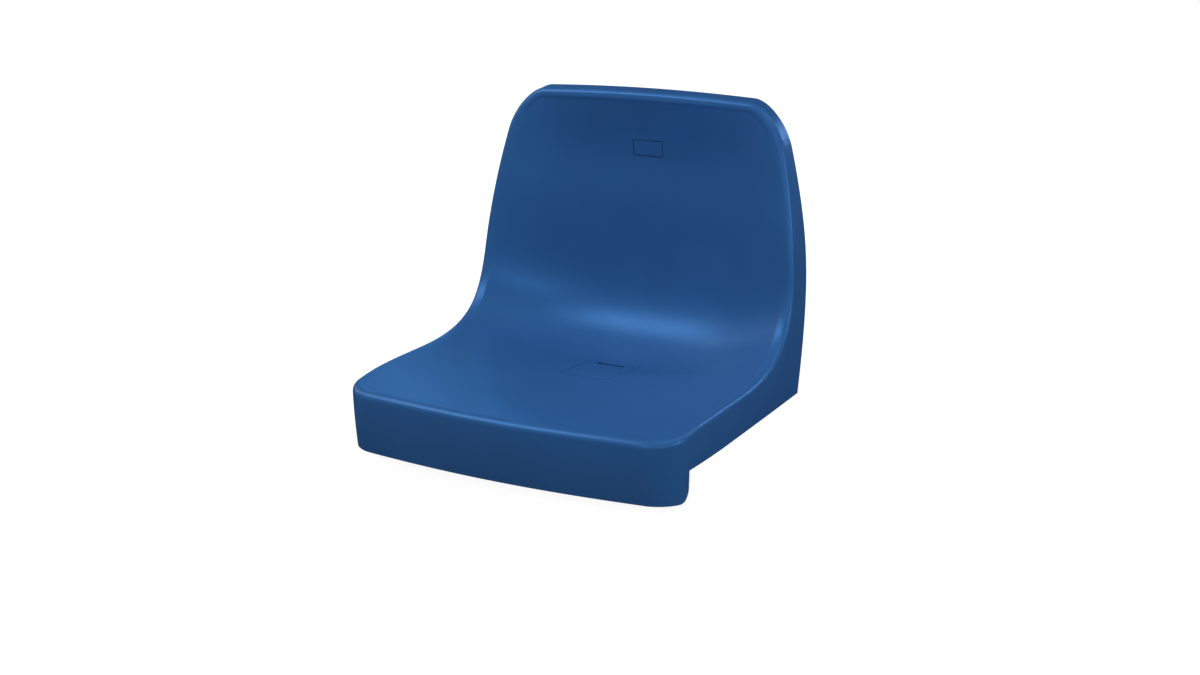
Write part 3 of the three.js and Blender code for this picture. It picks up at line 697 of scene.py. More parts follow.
def linear(code):
    """Linear RGBA of an sRGB hex colour."""
    values = [int(code[k:k + 2], 16) / 255 for k in (0, 2, 4)]
    return (*[v / 12.92 if v <= 0.04045 else ((v + 0.055) / 1.055) ** 2.4 for v in values], 1)


def tone(ramp, base, low, high):
    """Sets a ramp's two stops to two levels of one colour."""
    for stop, level in zip(ramp.elements, (low, high)):
        stop.color = (*[c * level for c in base[:3]], 1)


def moulded_polypropylene(tree, base):
    """Moulded polypropylene with a spark-eroded satin grain: broad soft highlights and a faint mottle."""
    place = add(tree, "ShaderNodeTexCoord").outputs["Object"]
    # The pigment flows unevenly over some 90 mm, which shows as a slow drift of a few per cent.
    drift = add(tree, "ShaderNodeTexNoise", {
        "Vector": place, "Scale": 1 / 0.09, "Detail": 2.0, "Roughness": 0.5})
    tint = add(tree, "ShaderNodeValToRGB", {"Fac": drift.outputs["Fac"]})
    tone(tint.color_ramp, base, 0.965, 1.035)
    tint.color_ramp.elements[0].position, tint.color_ramp.elements[1].position = 0.35, 0.65
    # Painted shade: ambient occlusion darkens the colour in the gaps round the cover and the plate,
    # which draws them as dark lines. It is left out below 12 mm, so the foot on the step stays unshaded.
    height = add(tree, "ShaderNodeSeparateXYZ", {"Vector": place})
    shade_cutoff = add(tree, "ShaderNodeMapRange", {
        "Value": height.outputs["Z"], "From Min": 0.012, "From Max": 0.016, "To Min": 1.0, "To Max": 0.05})
    gap_occlusion = add(tree, "ShaderNodeAmbientOcclusion", {"Distance": 0.008})
    painted_gap_shade = add(tree, "ShaderNodeMapRange", {
        "Value": gap_occlusion.outputs["AO"], "From Min": 0.52, "From Max": 0.92,
        "To Min": shade_cutoff.outputs["Result"], "To Max": 1.0}, interpolation_type="SMOOTHSTEP")
    # The painted shade multiplies the plastic's colour.
    gap_shaded_colour = add(tree, "ShaderNodeVectorMath", {0: tint.outputs["Color"], 1: painted_gap_shade.outputs["Result"]},
                 operation="MULTIPLY")
    # The real grain is 0.4 mm. It is drawn at 1.4 mm, the finest that shows.
    grain = add(tree, "ShaderNodeTexNoise", {"Vector": place, "Scale": 1 / 0.0014, "Detail": 1.0})
    # Seats are wiped and sat on, which leaves patches some 25 mm wide a little glossier than the rest.
    wiping = add(tree, "ShaderNodeTexNoise", {"Vector": place, "Scale": 1 / 0.025, "Detail": 3.0})
    rough = add(tree, "ShaderNodeMapRange", {"Value": wiping.outputs["Fac"], "To Min": 0.37, "To Max": 0.42})
    bump = add(tree, "ShaderNodeBump", {"Height": grain.outputs["Fac"], "Strength": 0.25, "Distance": 0.0001})
    return add(tree, "ShaderNodeBsdfPrincipled", {
        "Base Color": gap_shaded_colour.outputs["Vector"], "Roughness": rough.outputs["Result"],
        "Normal": bump.outputs["Normal"], "IOR": 1.49, "Specular IOR Level": 1.0,
        "Specular Tint": linear("5CAAFF")})


def zinc_plated_steel(tree, base):
    """Zinc-plated steel, turned and stamped: a cool grey metal with fine cloudy spangle and dull patches."""
    place = add(tree, "ShaderNodeTexCoord").outputs["Object"]
    # Bright zinc clouds over 3 mm, and storage stains dull it over 8 mm.
    cloud = add(tree, "ShaderNodeTexNoise", {"Vector": place, "Scale": 1 / 0.003, "Detail": 4.0})
    tint = add(tree, "ShaderNodeValToRGB", {"Fac": cloud.outputs["Fac"]})
    tone(tint.color_ramp, base, 0.82, 1.0)
    stain = add(tree, "ShaderNodeTexNoise", {"Vector": place, "Scale": 1 / 0.008, "Detail": 2.0})
    rough = add(tree, "ShaderNodeMapRange", {"Value": stain.outputs["Fac"], "To Min": 0.28, "To Max": 0.5})
    scratch = add(tree, "ShaderNodeBump", {
        "Height": cloud.outputs["Fac"], "Strength": 0.15, "Distance": 0.00005})
    return add(tree, "ShaderNodeBsdfPrincipled", {
        "Base Color": tint.outputs["Color"], "Metallic": 1.0, "Roughness": rough.outputs["Result"],
        "Normal": scratch.outputs["Normal"]})


def moulded_nylon(tree, base):
    """Moulded nylon 6, as taken from the tool: a dull waxy grey with faint flow lines."""
    place = add(tree, "ShaderNodeTexCoord").outputs["Object"]
    # Flow lines run along the plug, about 4 mm apart.
    stretch = add(tree, "ShaderNodeMapping", {"Vector": place, "Scale": (1, 1, 0.2)})
    flow = add(tree, "ShaderNodeTexNoise", {"Vector": stretch.outputs[0], "Scale": 1 / 0.004, "Detail": 2.0})
    tint = add(tree, "ShaderNodeValToRGB", {"Fac": flow.outputs["Fac"]})
    tone(tint.color_ramp, base, 0.9, 1.05)
    rough = add(tree, "ShaderNodeMapRange", {"Value": flow.outputs["Fac"], "To Min": 0.45, "To Max": 0.6})
    return add(tree, "ShaderNodeBsdfPrincipled", {
        "Base Color": tint.outputs["Color"], "Roughness": rough.outputs["Result"], "IOR": 1.53,
        "Subsurface Weight": 0.05, "Subsurface Scale": 0.002})


def direct_sight(tree):
    """The light path, and 1 for the rays that come from the camera, straight or through something clear."""
    ray = add(tree, "ShaderNodeLightPath")
    seen = add(tree, "ShaderNodeMath", {
        0: ray.outputs["Is Camera Ray"], 1: ray.outputs["Is Transmission Ray"]}, operation="MAXIMUM")
    return ray, seen.outputs[0]


def painted_board(tree, base):
    """Backdrop board in matt white paint, with just enough texture to hold a shadow."""
    place = add(tree, "ShaderNodeTexCoord").outputs["Object"]
    mottle = add(tree, "ShaderNodeTexNoise", {"Vector": place, "Scale": 1 / 0.4, "Detail": 2.0})
    tint = add(tree, "ShaderNodeValToRGB", {"Fac": mottle.outputs["Fac"]})
    tone(tint.color_ramp, base, 0.98, 1.0)
    matt = add(tree, "ShaderNodeBsdfDiffuse", {"Color": tint.outputs["Color"]})
    # The glow is low near the seat, which keeps its shadow, and makes the rest of the backdrop plain white.
    away = add(tree, "ShaderNodeVectorMath", {0: place}, operation="LENGTH")
    rise = add(tree, "ShaderNodeMapRange", {
        "Value": away.outputs["Value"], "From Min": 0.4, "From Max": 1.2, "To Min": 0.85, "To Max": 1.0})
    glow = add(tree, "ShaderNodeEmission", {"Color": (1, 1, 1, 1), "Strength": rise.outputs["Result"]})
    lit = add(tree, "ShaderNodeAddShader", {0: matt.outputs[0], 1: glow.outputs[0]})
    # Reflections show the backdrop dimmed, because the seat was photographed with dark surroundings.
    dim = add(tree, "ShaderNodeEmission", {"Color": (1, 1, 1, 1), "Strength": MIRRORED})
    ray, seen = direct_sight(tree)
    direct = add(tree, "ShaderNodeMixShader", {0: seen, 1: matt.outputs[0], 2: lit.outputs[0]})
    front = add(tree, "ShaderNodeMixShader", {
        0: ray.outputs["Is Glossy Ray"], 1: direct.outputs[0], 2: dim.outputs[0]})
    side = add(tree, "ShaderNodeNewGeometry")
    clear = add(tree, "ShaderNodeBsdfTransparent")
    return add(tree, "ShaderNodeMixShader", {
        0: side.outputs["Backfacing"], 1: front.outputs[0], 2: clear.outputs[0]})


FINISHES = {
    "plastic": ("polypropylene, moulded satin", moulded_polypropylene),
    "zinc": ("steel, zinc plated", zinc_plated_steel),
    "nylon": ("nylon, moulded", moulded_nylon),
    "floor": ("backdrop, matt white paint", painted_board),
}


def finish(kind):
    """The finish of this kind, built in its colour at its first use."""
    name, build = FINISHES[kind]
    made = bpy.data.materials.get(name)
    if not made:
        made = bpy.data.materials.new(name)
        made.use_nodes = True
        made.node_tree.nodes.clear()
        shader = build(made.node_tree, linear(getattr(bpy.context.scene.stadium_seat.finish, kind)))
        add(made.node_tree, "ShaderNodeOutputMaterial", {"Surface": shader.outputs[0]})
    return made


# Pieces


def well_box(z):
    """Half-width, front and rear of the well. It reaches the cover's rear edge, with a ledge elsewhere."""
    return z.width / 2 - z.ledge, -z.length / 2 + z.ledge, z.length / 2 + z.gap


def bolt_places(sizes):
    """Where the two bolts stand: their depths, by name."""
    y = well_box(sizes.cover)[1] + sizes.fixings.washer_clearance + sizes.fixings.washer
    return {"front": y, "rear": -y}


def plate_frame(shape, plate):
    """Frame of the number plate: its middle on the face, and the directions across, up and out of it."""
    s = plate.place * shape.rim.total
    low, middle, high = shape.face(np.zeros(3), np.array([s - plate.height / 2, s, s + plate.height / 2]))
    up = Vector(high - low).normalized()
    across = Vector((1, 0, 0))
    frame_of_plate = Matrix((across, up, across.cross(up))).transposed().to_4x4()
    frame_of_plate.translation = middle
    return frame_of_plate


def shell_tree():
    """The moulding's rule: skin, ribs and well in one piece, then the openings that the tool's cores make."""
    cores = "Skirt Trim", "Cover Pocket", "Well", "Bolt Slots", "Drains", "Plate Recess", "Peg Holes"
    tree, given = new_tree("Moulded seat shell", objects=("Rib Limit", "Well Block", "Room", *cores), sizes=(
        "Rib Thickness", "Rib Length", "Rib Height", "Long Rib Start", "Long Rib Spacing", "Cross Rib Start",
        "Cross Rib Spacing"))
    pairs = []
    for kind, way, wide in (("Long", "X", "Y"), ("Cross", "Y", "X")):
        size = add(tree, "ShaderNodeCombineXYZ", {
            way: given["Rib Thickness"], wide: given["Rib Length"], "Z": given["Rib Height"]})
        rib = add(tree, "GeometryNodeMeshCube", {"Size": size.outputs[0]})
        start = add(tree, "ShaderNodeCombineXYZ", {way: given[f"{kind} Rib Start"]})
        spacing = add(tree, "ShaderNodeCombineXYZ", {way: given[f"{kind} Rib Spacing"]})
        pairs.append(row(tree, rib.outputs[0], 2, start.outputs[0], spacing.outputs[0]))
    inner = pairs[0]
    for operation, part in (("UNION", pairs[1]), ("INTERSECT", given["Rib Limit"]),
                            ("UNION", given["Well Block"]), ("INTERSECT", given["Room"])):
        inner = add(tree, "GeometryNodeMeshBoolean", {"Mesh 2": [inner, part]},
                    operation=operation, solver="MANIFOLD").outputs["Mesh"]
    whole = add(tree, "GeometryNodeMeshBoolean", {"Mesh 2": [given["Geometry"], inner]},
                operation="UNION", solver="MANIFOLD")
    opened = add(tree, "GeometryNodeMeshBoolean", {
        "Mesh 1": whole.outputs["Mesh"], "Mesh 2": [given[name] for name in cores]},
        operation="DIFFERENCE", solver="MANIFOLD")
    finish_tree(tree, given, opened.outputs["Mesh"], crease=32)
    return tree


class SEAT_OT_moulded_shell(bpy.types.Operator):
    """Makes the moulded shell: dish, rolled rim, skirts, apron, ribs and the fixing well"""

    bl_idname = "stadium_seat.moulded_shell"
    bl_label = "Moulded shell"

    def execute(self, context):
        sizes = context.scene.stadium_seat
        z, cover, fixings, plate = sizes.shell, sizes.cover, sizes.fixings, sizes.plate
        shape = SeatShape(z)
        height = face_height(shape)
        half, front, rear = well_box(cover)
        wall, past, reach = cover.well_wall, 10 * MM, 400 * MM
        above = z.pan_z + past

        trim = [(-reach, -reach), (reach, -reach), (reach, 0), (z.apron_end, 0)]
        trim += [(z.apron_end - z.apron_corner * (1 - math.cos(turn)),
                  z.apron_corner * (1 - math.sin(turn)) - z.apron_drop)
                 for turn in np.linspace(0, math.pi / 2, 13)]
        trim.append((-reach, -z.apron_drop))
        ends = [(z.front_y, z.rib_lift), (shape.rear_edge(z.rib_lift) - z.rib_inset, z.rib_lift),
                (shape.rear_edge(z.rib_top) - z.rib_inset, z.rib_top), (z.front_y, z.rib_top)]
        pocket_end = cover.length / 2 + cover.gap
        pocket = rounded(cover.width / 2 + cover.gap, -pocket_end, pocket_end, cover.corner, side=6)
        slot = fixings.bolt + fixings.slot_play
        slots = [pad(rounded(slot + fixings.slot_travel, y - slot, y + slot, fixings.bolt), -past,
                     cover.well_floor + past) for y in bolt_places(sizes).values()]
        drain_x = half - 2 * cover.drain
        drains = [pad(circle(x, (front + rear) / 2, cover.drain), -past, cover.well_floor + past)
                  for x in (-drain_x, drain_x)]
        recess_end = plate.height / 2 + plate.gap
        recess = rounded(plate.width / 2 + plate.gap, -recess_end, recess_end, plate.corner + plate.gap)
        place = plate_frame(shape, plate)
        pegs = [pad(circle(side * plate.peg_spacing / 2, 0, plate.peg + fixings.gap, 32), -2 * past, past)
                for side in (-1, 1)]
        objects = {
            "Rib Limit": extruded(ends, -reach, reach),
            "Room": room_solid(shape),
            "Well Block": pad(rounded(half + wall, front - wall, rear + wall, cover.corner), 0, above),
            "Skirt Trim": extruded(trim, -reach, reach),
            "Cover Pocket": pad(pocket, lambda x, y: height(x, y) - cover.thickness - cover.seating,
                                lambda x, y: height(x, y) + past / 2, rings=12),
            "Well": pad(rounded(half, front, rear, cover.corner), cover.well_floor, above),
            "Bolt Slots": merged(*slots),
            "Drains": merged(*drains),
            "Plate Recess": placed(place, pad(recess, -plate.thickness - fixings.gap, past)),
            "Peg Holes": placed(place, merged(*pegs)),
        }
        values = {name: mesh_object(name, *solid) for name, solid in objects.items()}
        values |= {
            "Rib Thickness": z.rib, "Rib Height": 2 * z.rib_top, "Rib Length": 2 * z.half_width,
            "Long Rib Start": z.rib / 2 - half - wall, "Long Rib Spacing": 2 * (half + wall) - z.rib,
            "Cross Rib Start": front - wall + z.rib / 2, "Cross Rib Spacing": rear - front + 2 * wall - z.rib,
            "Finish": finish("plastic")}
        skin = mesh_object("Skin", *skin_solid(shape))
        hand_in(make_piece("moulded_shell", skin, shell_tree(), values), "seat_shell")
        return {"FINISHED"}


class SEAT_OT_fixing_cover(bpy.types.Operator):
    """Makes the cover over the fixings, with its four legs and its grip slot"""

    bl_idname = "stadium_seat.fixing_cover"
    bl_label = "Fixing cover"

    def execute(self, context):
        sizes = context.scene.stadium_seat
        z = sizes.cover
        height = face_height(SeatShape(sizes.shell))
        outline = rounded(z.width / 2, -z.length / 2, z.length / 2, z.corner, side=10)
        top = pad(outline, lambda x, y: height(x, y) - z.thickness, height, rings=14)
        middle = float(height(np.zeros(1), np.zeros(1))[0])
        leg = rounded(z.leg_thickness / 2, -z.leg_width / 2, z.leg_width / 2, z.leg_edge)
        leg_x, leg_y = well_box(z)[0] - sizes.fixings.gap - z.leg_thickness / 2, z.length * z.leg_place
        foot = middle - z.thickness - z.leg_length
        legs = [pad(leg + (x, y), foot, lambda x, y: height(x, y) - z.thickness / 2)
                for x in (-leg_x, leg_x) for y in (-leg_y, leg_y)]
        slot = rounded(z.slot_width / 2, z.length / 2 - z.slot_depth, z.length / 2 + 10 * MM, z.slot_corner)
        tree, given = new_tree("Fixing cover", objects=("Legs", "Grip Slot"))
        joined = add(tree, "GeometryNodeMeshBoolean", {"Mesh 2": [given["Geometry"], given["Legs"]]},
                     operation="UNION", solver="MANIFOLD")
        cut = add(tree, "GeometryNodeMeshBoolean", {
            "Mesh 1": joined.outputs["Mesh"], "Mesh 2": given["Grip Slot"]},
            operation="DIFFERENCE", solver="MANIFOLD")
        finish_tree(tree, given, cut.outputs["Mesh"])
        cover = make_piece("fitted_fixing_cover", mesh_object("Cover", *top), tree, {
            "Legs": mesh_object("Legs", *merged(*legs)),
            "Grip Slot": mesh_object("Grip Slot", *pad(slot, 0, 2 * z.length)), "Finish": finish("plastic")})
        hand_in(cover, "fixing_cover", "cover")
        return {"FINISHED"}


class SEAT_OT_number_plate(bpy.types.Operator):
    """Makes the bare number plate with the pegs moulded on its back"""

    bl_idname = "stadium_seat.number_plate"
    bl_label = "Number plate"

    def execute(self, context):
        sizes = context.scene.stadium_seat
        z = sizes.plate
        rings = []
        for inset, depth in ((0, -z.thickness), (0, -z.edge), (z.edge, 0)):
            end = z.height / 2 - inset
            flat = rounded(z.width / 2 - inset, -end, end, z.corner - inset)
            rings.append(np.column_stack([flat, np.full(len(flat), depth)]))
        tree, given = new_tree("Number plate", sizes=(
            "Peg Radius", "Peg Length", "Peg Spacing", "Peg Middle"))
        peg = add(tree, "GeometryNodeMeshCylinder", {
            "Vertices": 32, "Radius": given["Peg Radius"], "Depth": given["Peg Length"]}, fill_type="NGON")
        left = add(tree, "ShaderNodeMath", {0: given["Peg Spacing"], 1: -0.5}, operation="MULTIPLY")
        start = add(tree, "ShaderNodeCombineXYZ", {"X": left.outputs[0], "Z": given["Peg Middle"]})
        offset = add(tree, "ShaderNodeCombineXYZ", {"X": given["Peg Spacing"]})
        pegs = row(tree, peg.outputs["Mesh"], 2, start.outputs[0], offset.outputs[0])
        joined = add(tree, "GeometryNodeMeshBoolean", {"Mesh 2": [given["Geometry"], pegs]},
                     operation="UNION", solver="MANIFOLD")
        finish_tree(tree, given, joined.outputs["Mesh"])
        # The pegs start halfway into the plate, so that they are one with it.
        values = {
            "Peg Radius": z.peg, "Peg Length": z.peg_length + z.thickness / 2, "Peg Spacing": z.peg_spacing,
            "Peg Middle": -z.thickness * 3 / 4 - z.peg_length / 2, "Finish": finish("plastic")}
        plate = make_piece("bare_number_plate", mesh_object("Plate", *tube(rings)), tree, values,
                           plate_frame(SeatShape(sizes.shell), z))
        hand_in(plate, "number_plate")
        return {"FINISHED"}


class SEAT_OT_plate_clips(bpy.types.Operator):
    """Makes the two push-on clips behind the number plate, with tongues that grip the pegs"""

    bl_idname = "stadium_seat.plate_clips"
    bl_label = "Plate clips"

    def execute(self, context):
        sizes = context.scene.stadium_seat
        z, gap = sizes.plate, sizes.fixings.gap
        top = -sizes.shell.wall - gap
        low = top - z.clip_thickness
        bore, edge = z.peg + gap, z.clip_edge
        ring = lathe([(bore, low), (z.clip - edge, low), (z.clip, low + edge), (z.clip, top - edge),
                      (z.clip - edge, top), (bore, top)], 48)
        tree, given = new_tree("Push-on clip", counts=("Slits",), sizes=(
            "Slit Width", "Slit Reach", "Slit Height", "Middle Height"))
        size = add(tree, "ShaderNodeCombineXYZ", {
            "X": given["Slit Reach"], "Y": given["Slit Width"], "Z": given["Slit Height"]})
        bar = add(tree, "GeometryNodeMeshCube", {"Size": size.outputs[0]})
        half = add(tree, "ShaderNodeMath", {0: given["Slit Reach"], 1: 0.5}, operation="MULTIPLY")
        outwards = add(tree, "ShaderNodeCombineXYZ", {"X": half.outputs[0], "Z": given["Middle Height"]})
        beside = add(tree, "GeometryNodeTransform", {
            "Geometry": bar.outputs[0], "Translation": outwards.outputs[0]})
        points = add(tree, "GeometryNodePoints", {"Count": given["Slits"]})
        index = add(tree, "GeometryNodeInputIndex")
        part = add(tree, "ShaderNodeMath", {0: index.outputs[0], 1: given["Slits"]}, operation="DIVIDE")
        turn = add(tree, "ShaderNodeMath", {0: part.outputs[0], 1: 2 * math.pi}, operation="MULTIPLY")
        rotation = add(tree, "ShaderNodeCombineXYZ", {"Z": turn.outputs[0]})
        slits = add(tree, "GeometryNodeInstanceOnPoints", {
            "Points": points.outputs[0], "Instance": beside.outputs[0], "Rotation": rotation.outputs[0]})
        # The slits cross one another in the middle, which only the exact solver cuts.
        cut = add(tree, "GeometryNodeMeshBoolean", {
            "Mesh 1": given["Geometry"], "Mesh 2": slits.outputs[0], "Self Intersection": True},
            operation="DIFFERENCE", solver="EXACT")
        finish_tree(tree, given, cut.outputs["Mesh"])
        values = {"Slits": 4, "Slit Width": z.clip_slit, "Slit Reach": z.clip_reach, "Slit Height": 10 * MM,
                  "Middle Height": (low + top) / 2, "Finish": finish("zinc")}
        place = plate_frame(SeatShape(sizes.shell), z)
        for name, side in (("left", 1), ("right", -1)):
            clip = make_piece(f"push_on_clip_{name}", mesh_object("Clip", *ring), tree, values,
                              place @ Matrix.Translation((side * z.peg_spacing / 2, 0, 0)))
            hand_in(clip, f"plate_clip_{name}")
        return {"FINISHED"}


def threaded_shank(z, low, high):
    """A shank whose lower part carries a thread: the radius follows a wave that climbs as it goes round."""
    end, depth, steps = low + z.bolt_length * z.thread_share, z.pitch * z.thread_depth, 8
    levels = np.concatenate([
        np.linspace(low, end, int((end - low) / z.pitch * steps)), np.linspace(end, high, steps)[1:]])
    turns = np.linspace(0, 2 * math.pi, 3 * steps, endpoint=False)
    along, turned = np.meshgrid(levels, turns, indexing="ij")
    phase = (along - low) / z.pitch - turned / (2 * math.pi)
    ridge = np.clip(np.abs((phase % 1) * 2 - 1) * 1.3 - 0.15, 0, 1)
    fade = smooth(low, low + 2 * z.pitch, along) * (1 - smooth(end - 2 * z.pitch, end, along))
    radius = z.bolt - depth * (1 - ridge) * fade
    radius = np.where(along < low + 0.5 * z.pitch, np.minimum(radius, z.bolt - depth), radius)
    return tube(np.stack([radius * np.cos(turned), radius * np.sin(turned), along], -1))


class SEAT_OT_anchor_bolts(bpy.types.Operator):
    """Makes the two hexagon-head bolts with chamfered heads and rolled threads"""

    bl_idname = "stadium_seat.anchor_bolts"
    bl_label = "Anchor bolts"

    def execute(self, context):
        sizes = context.scene.stadium_seat
        z = sizes.fixings
        low = sizes.cover.well_floor + z.gap + z.washer_thickness + z.gap
        top = low + z.head
        corner = z.flats / 2 / math.cos(math.pi / 6)
        # The chamfer is a cone of 20 degrees that leaves a round top a little inside the flats.
        axis, inner, outer, slope = 0.01 * MM, z.flats / 2 * 0.95, corner + MM, 0.36
        cone = lathe([(axis, low), (outer, low), (outer, top - (outer - inner) * slope), (inner, top),
                      (axis, top)], 96)
        tree, given = new_tree("Hexagon-head bolt", objects=("Cone", "Shank"))
        head = add(tree, "GeometryNodeMeshBoolean", {"Mesh 2": [given["Geometry"], given["Cone"]]},
                   operation="INTERSECT", solver="MANIFOLD")
        whole = add(tree, "GeometryNodeMeshBoolean", {"Mesh 2": [head.outputs["Mesh"], given["Shank"]]},
                    operation="UNION", solver="MANIFOLD")
        finish_tree(tree, given, whole.outputs["Mesh"], crease=20)
        for name, y in bolt_places(sizes).items():
            hexagon = mesh_object("Head", *pad(circle(0, 0, corner, 6), low, top))
            bolt = make_piece(f"hexagon_bolt_{name}", hexagon, tree, {
                "Cone": mesh_object("Cone", *cone), "Finish": finish("zinc"),
                "Shank": mesh_object("Shank", *threaded_shank(z, low - z.bolt_length, low + z.head / 2))},
                Matrix.Translation((0, y, 0)))
            hand_in(bolt, f"anchor_bolt_{name}")
        return {"FINISHED"}


class SEAT_OT_washers(bpy.types.Operator):
    """Makes the two large washers, stamped, with rolled-over edges"""

    bl_idname = "stadium_seat.washers"
    bl_label = "Washers"

    def execute(self, context):
        sizes = context.scene.stadium_seat
        z = sizes.fixings
        low = sizes.cover.well_floor + z.gap
        top, bore, edge = low + z.washer_thickness, z.bolt + z.slot_play, z.washer_edge
        rolled = [(z.washer - edge * (1 - math.cos(turn)), top - edge * (1 - math.sin(turn)))
                  for turn in (0, 0.5, 1.05, math.pi / 2)]
        profile = [(bore, low), (z.washer - edge / 2, low), (z.washer, low + edge / 2), *rolled,
                   (bore + edge / 2, top), (bore, top - edge / 2)]
        for name, y in bolt_places(sizes).items():
            washer = mesh_object(f"stamped_washer_{name}", *lathe(profile, 96))
            washer.data.shade_smooth()
            washer.data.set_sharp_from_angle(angle=math.radians(30))
            washer.data.transform(Matrix.Translation((0, y, 0)))
            washer.data.materials.append(finish("zinc"))
            hand_in(washer, f"washer_{name}")
        return {"FINISHED"}


class SEAT_OT_expansion_plugs(bpy.types.Operator):
    """Makes the two nylon expansion plugs, with barbed rings and crosswise slits"""

    bl_idname = "stadium_seat.expansion_plugs"
    bl_label = "Expansion plugs"

    def execute(self, context):
        sizes = context.scene.stadium_seat
        z = sizes.fixings
        top = -z.plug_recess
        low = top - z.plug_length
        bore, waist, collar = z.bolt + z.gap, z.plug - z.barb_depth, top - z.plug_collar
        core = [(bore, low), (waist - 0.4 * MM, low), (waist, low + MM), (waist, collar), (z.plug, collar),
                (z.plug, top), (bore, top)]
        # A barb widens upwards and ends square, so that it holds against a pull.
        sunk = bore + 0.2 * MM
        barb = [(sunk, 0), (waist, 0), (z.plug, z.barb_rise), (z.plug, z.barb_height), (sunk, z.barb_height)]
        tree, given = new_tree("Expansion plug", objects=("Barb",), counts=("Barbs",), sizes=(
            "Low End", "Barb Spacing", "Slit Width", "Slit Length", "Plug Width"))
        start = add(tree, "ShaderNodeCombineXYZ", {"Z": given["Low End"]})
        step = add(tree, "ShaderNodeCombineXYZ", {"Z": given["Barb Spacing"]})
        barbs = row(tree, given["Barb"], given["Barbs"], start.outputs[0], step.outputs[0])
        ribbed = add(tree, "GeometryNodeMeshBoolean", {"Mesh 2": [given["Geometry"], barbs]},
                     operation="UNION", solver="MANIFOLD")
        cuts = []
        for wide, thin in (("X", "Y"), ("Y", "X")):
            size = add(tree, "ShaderNodeCombineXYZ", {
                wide: given["Plug Width"], thin: given["Slit Width"], "Z": given["Slit Length"]})
            bar = add(tree, "GeometryNodeMeshCube", {"Size": size.outputs[0]})
            moved = add(tree, "GeometryNodeTransform", {
                "Geometry": bar.outputs[0], "Translation": start.outputs[0]})
            cuts.append(moved.outputs[0])
        slit = add(tree, "GeometryNodeMeshBoolean", {"Mesh 1": ribbed.outputs["Mesh"], "Mesh 2": cuts},
                   operation="DIFFERENCE", solver="MANIFOLD")
        finish_tree(tree, given, slit.outputs["Mesh"])
        for name, y in bolt_places(sizes).items():
            plug = make_piece(f"barbed_plug_{name}", mesh_object("Core", *lathe(core)), tree, {
                "Barb": mesh_object("Barb", *lathe(barb)), "Barbs": z.barbs, "Low End": low,
                "Barb Spacing": z.barb_spacing, "Slit Width": z.plug_slit,
                "Slit Length": 2 * z.plug_length * z.plug_slit_share, "Plug Width": 4 * z.plug,
                "Finish": finish("nylon")},
                Matrix.Translation((0, y, 0)))
            hand_in(plug, f"expansion_plug_{name}")
        return {"FINISHED"}


# Studio


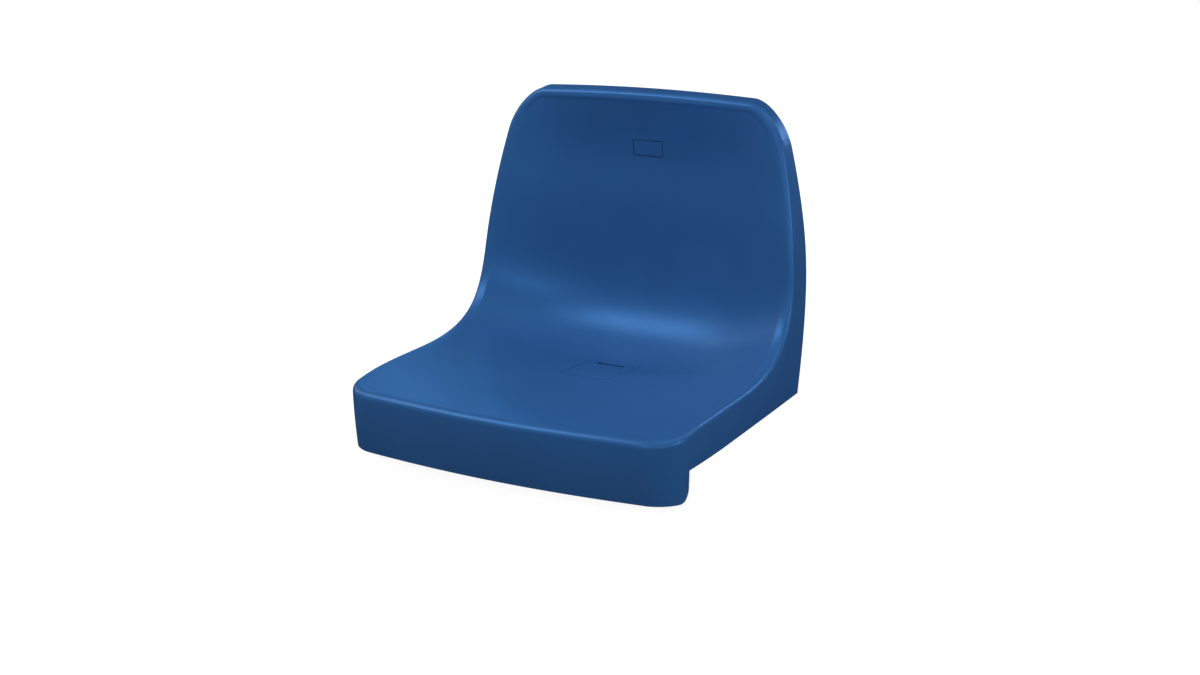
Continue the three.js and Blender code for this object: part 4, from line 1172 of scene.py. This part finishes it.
class SEAT_OT_studio(bpy.types.Operator):
    """Makes the pale step, the soft lights, the world and the camera"""

    bl_idname = "stadium_seat.studio"
    bl_label = "Studio"

    def execute(self, context):
        self.step(context.scene.stadium_seat.shell)
        self.lamps(context)
        self.world(context)
        self.camera(context)
        context.scene.view_settings.view_transform = "Standard"
        return {"FINISHED"}

    def step(self, shell):
        """The step as an open sheet, with a rounded nosing that the apron hangs in front of."""
        reach, drop, nosing, gap = 6.0, -0.4, 8 * MM, 4 * MM
        edge = shell.apron_end + gap
        profile = [(-reach, drop), (edge, drop), (edge, -nosing)]
        profile += [(edge + nosing * (1 - math.cos(t)), nosing * (math.sin(t) - 1))
                    for t in np.linspace(0.2, math.pi / 2, 6)]
        profile.append((reach, 0))
        points = [(x, y, z) for x in (-reach, reach) for y, z in profile]
        n = len(profile)
        step = mesh_object("step_of_the_stand", points, [(k, n + k, n + k + 1, k + 1) for k in range(n - 1)])
        step.data.materials.append(finish("floor"))

    def lamps(self, context):
        """Soft lamps on a sphere: azimuth from the seat's front, elevation, width, height, power, colour."""
        distance, aim = 2.4, Vector((0, -0.02, 0.14))
        white, pale_blue, cool = "FFFFFF", "AAD6FF", "66BBFF"
        lamps = {
            "key_right": (-32, 49, 0.3, 0.9, 15.0, white),
            "key_left": (-56, 43, 0.3, 0.8, 13.0, white),
            "left_high": (-84, 44, 0.3, 0.3, 4.0, white),
            "left": (-95, 20, 0.8, 0.8, 4.0, white),
            "front_middle": (12, 22, 0.4, 0.4, 6.6, white),
            "right_front": (50, 13, 0.4, 0.4, 4.6, white),
            "right": (89, 13, 0.3, 0.3, 11.5, white),
            "right_high": (70, 58, 0.5, 0.5, 4.5, white),
            "right_rear": (148, 20, 0.4, 0.4, 8.0, pale_blue),
            "right_rear_high": (118, 52, 0.5, 0.5, 5.0, white),
            "rear_left": (-138, 20, 0.5, 0.5, 2.2, cool),
            "overhead": (0, 89, 1.4, 1.4, 2.5, white),
        }
        for name, (azimuth, elevation, width, height, power, tint) in lamps.items():
            flat, up = math.radians(azimuth), math.radians(elevation)
            way = Vector((math.sin(flat) * math.cos(up), -math.cos(flat) * math.cos(up), math.sin(up)))
            light = bpy.data.lights.new(name, "AREA")
            light.shape = "RECTANGLE"
            light.size, light.size_y, light.energy, light.color = width, height, power, linear(tint)[:3]
            lamp = bpy.data.objects.new(name, light)
            context.scene.collection.objects.link(lamp)
            lamp.location = aim + way * distance
            lamp.rotation_euler = (-way).to_track_quat("-Z", "Y").to_euler()

    def world(self, context):
        """A white world for the camera, a weak one as fill light, and a dark one for reflections."""
        world = bpy.data.worlds.new("white studio")
        context.scene.world = world
        world.use_nodes = True
        tree = world.node_tree
        tree.nodes.clear()
        ray, seen = direct_sight(tree)
        mirrored = add(tree, "ShaderNodeMapRange", {
            "Value": ray.outputs["Is Glossy Ray"], "To Min": 0.2, "To Max": MIRRORED})
        level = add(tree, "ShaderNodeMath", {0: seen, 1: mirrored.outputs["Result"]}, operation="MAXIMUM")
        light = add(tree, "ShaderNodeBackground", {"Color": (1, 1, 1, 1), "Strength": level.outputs[0]})
        add(tree, "ShaderNodeOutputWorld", {"Surface": light.outputs[0]})

    def camera(self, context):
        """The photo's view: 28 degrees to the right of the seat and 16 degrees up."""
        view = bpy.data.cameras.new("photo_view")
        view.lens, view.sensor_width = 50, 36
        camera = bpy.data.objects.new("photo_view", view)
        context.scene.collection.objects.link(camera)
        camera.location = (0.90431, -1.694129, 0.620335)
        camera.rotation_euler = (math.radians(90 - 16), 0, math.radians(28))
        context.scene.camera = camera


# Add-on


class StadiumSeatSizes(bpy.types.PropertyGroup):
    """All sizes and colours of the seat"""

    shell: PointerProperty(name="Shell", description="Sizes of the shell", type=SeatShellSizes)
    cover: PointerProperty(name="Cover", description="Sizes of the cover and its well", type=CoverSizes)
    fixings: PointerProperty(name="Fixings", description="Sizes of the fixings", type=FixingSizes)
    plate: PointerProperty(name="Plate", description="Sizes of the plate and its clips", type=PlateSizes)
    finish: PointerProperty(name="Finish", description="Colours of the finishes", type=FinishColours)


OPERATORS = (
    SEAT_OT_moulded_shell, SEAT_OT_fixing_cover, SEAT_OT_number_plate, SEAT_OT_plate_clips,
    SEAT_OT_anchor_bolts, SEAT_OT_washers, SEAT_OT_expansion_plugs, SEAT_OT_studio)


class SEAT_PT_sidebar(bpy.types.Panel):
    """Lists the seat's operators"""

    bl_idname = "SEAT_PT_sidebar"
    bl_label = "Stadium seat"
    bl_space_type = "VIEW_3D"
    bl_region_type = "UI"
    bl_category = "Stadium seat"

    def draw(self, context):
        for operator in OPERATORS:
            self.layout.operator(operator.bl_idname)


CLASSES = (
    SeatShellSizes, CoverSizes, FixingSizes, PlateSizes, FinishColours, StadiumSeatSizes, *OPERATORS,
    SEAT_PT_sidebar)


def register():
    for made in CLASSES:
        bpy.utils.register_class(made)
    bpy.types.Scene.stadium_seat = PointerProperty(type=StadiumSeatSizes)


def unregister():
    del bpy.types.Scene.stadium_seat
    for made in reversed(CLASSES):
        bpy.utils.unregister_class(made)


def main():
    register()
    for operator in OPERATORS:
        group, name = operator.bl_idname.split(".")
        getattr(getattr(bpy.ops, group), name)()


if __name__ == "__main__":
    main()
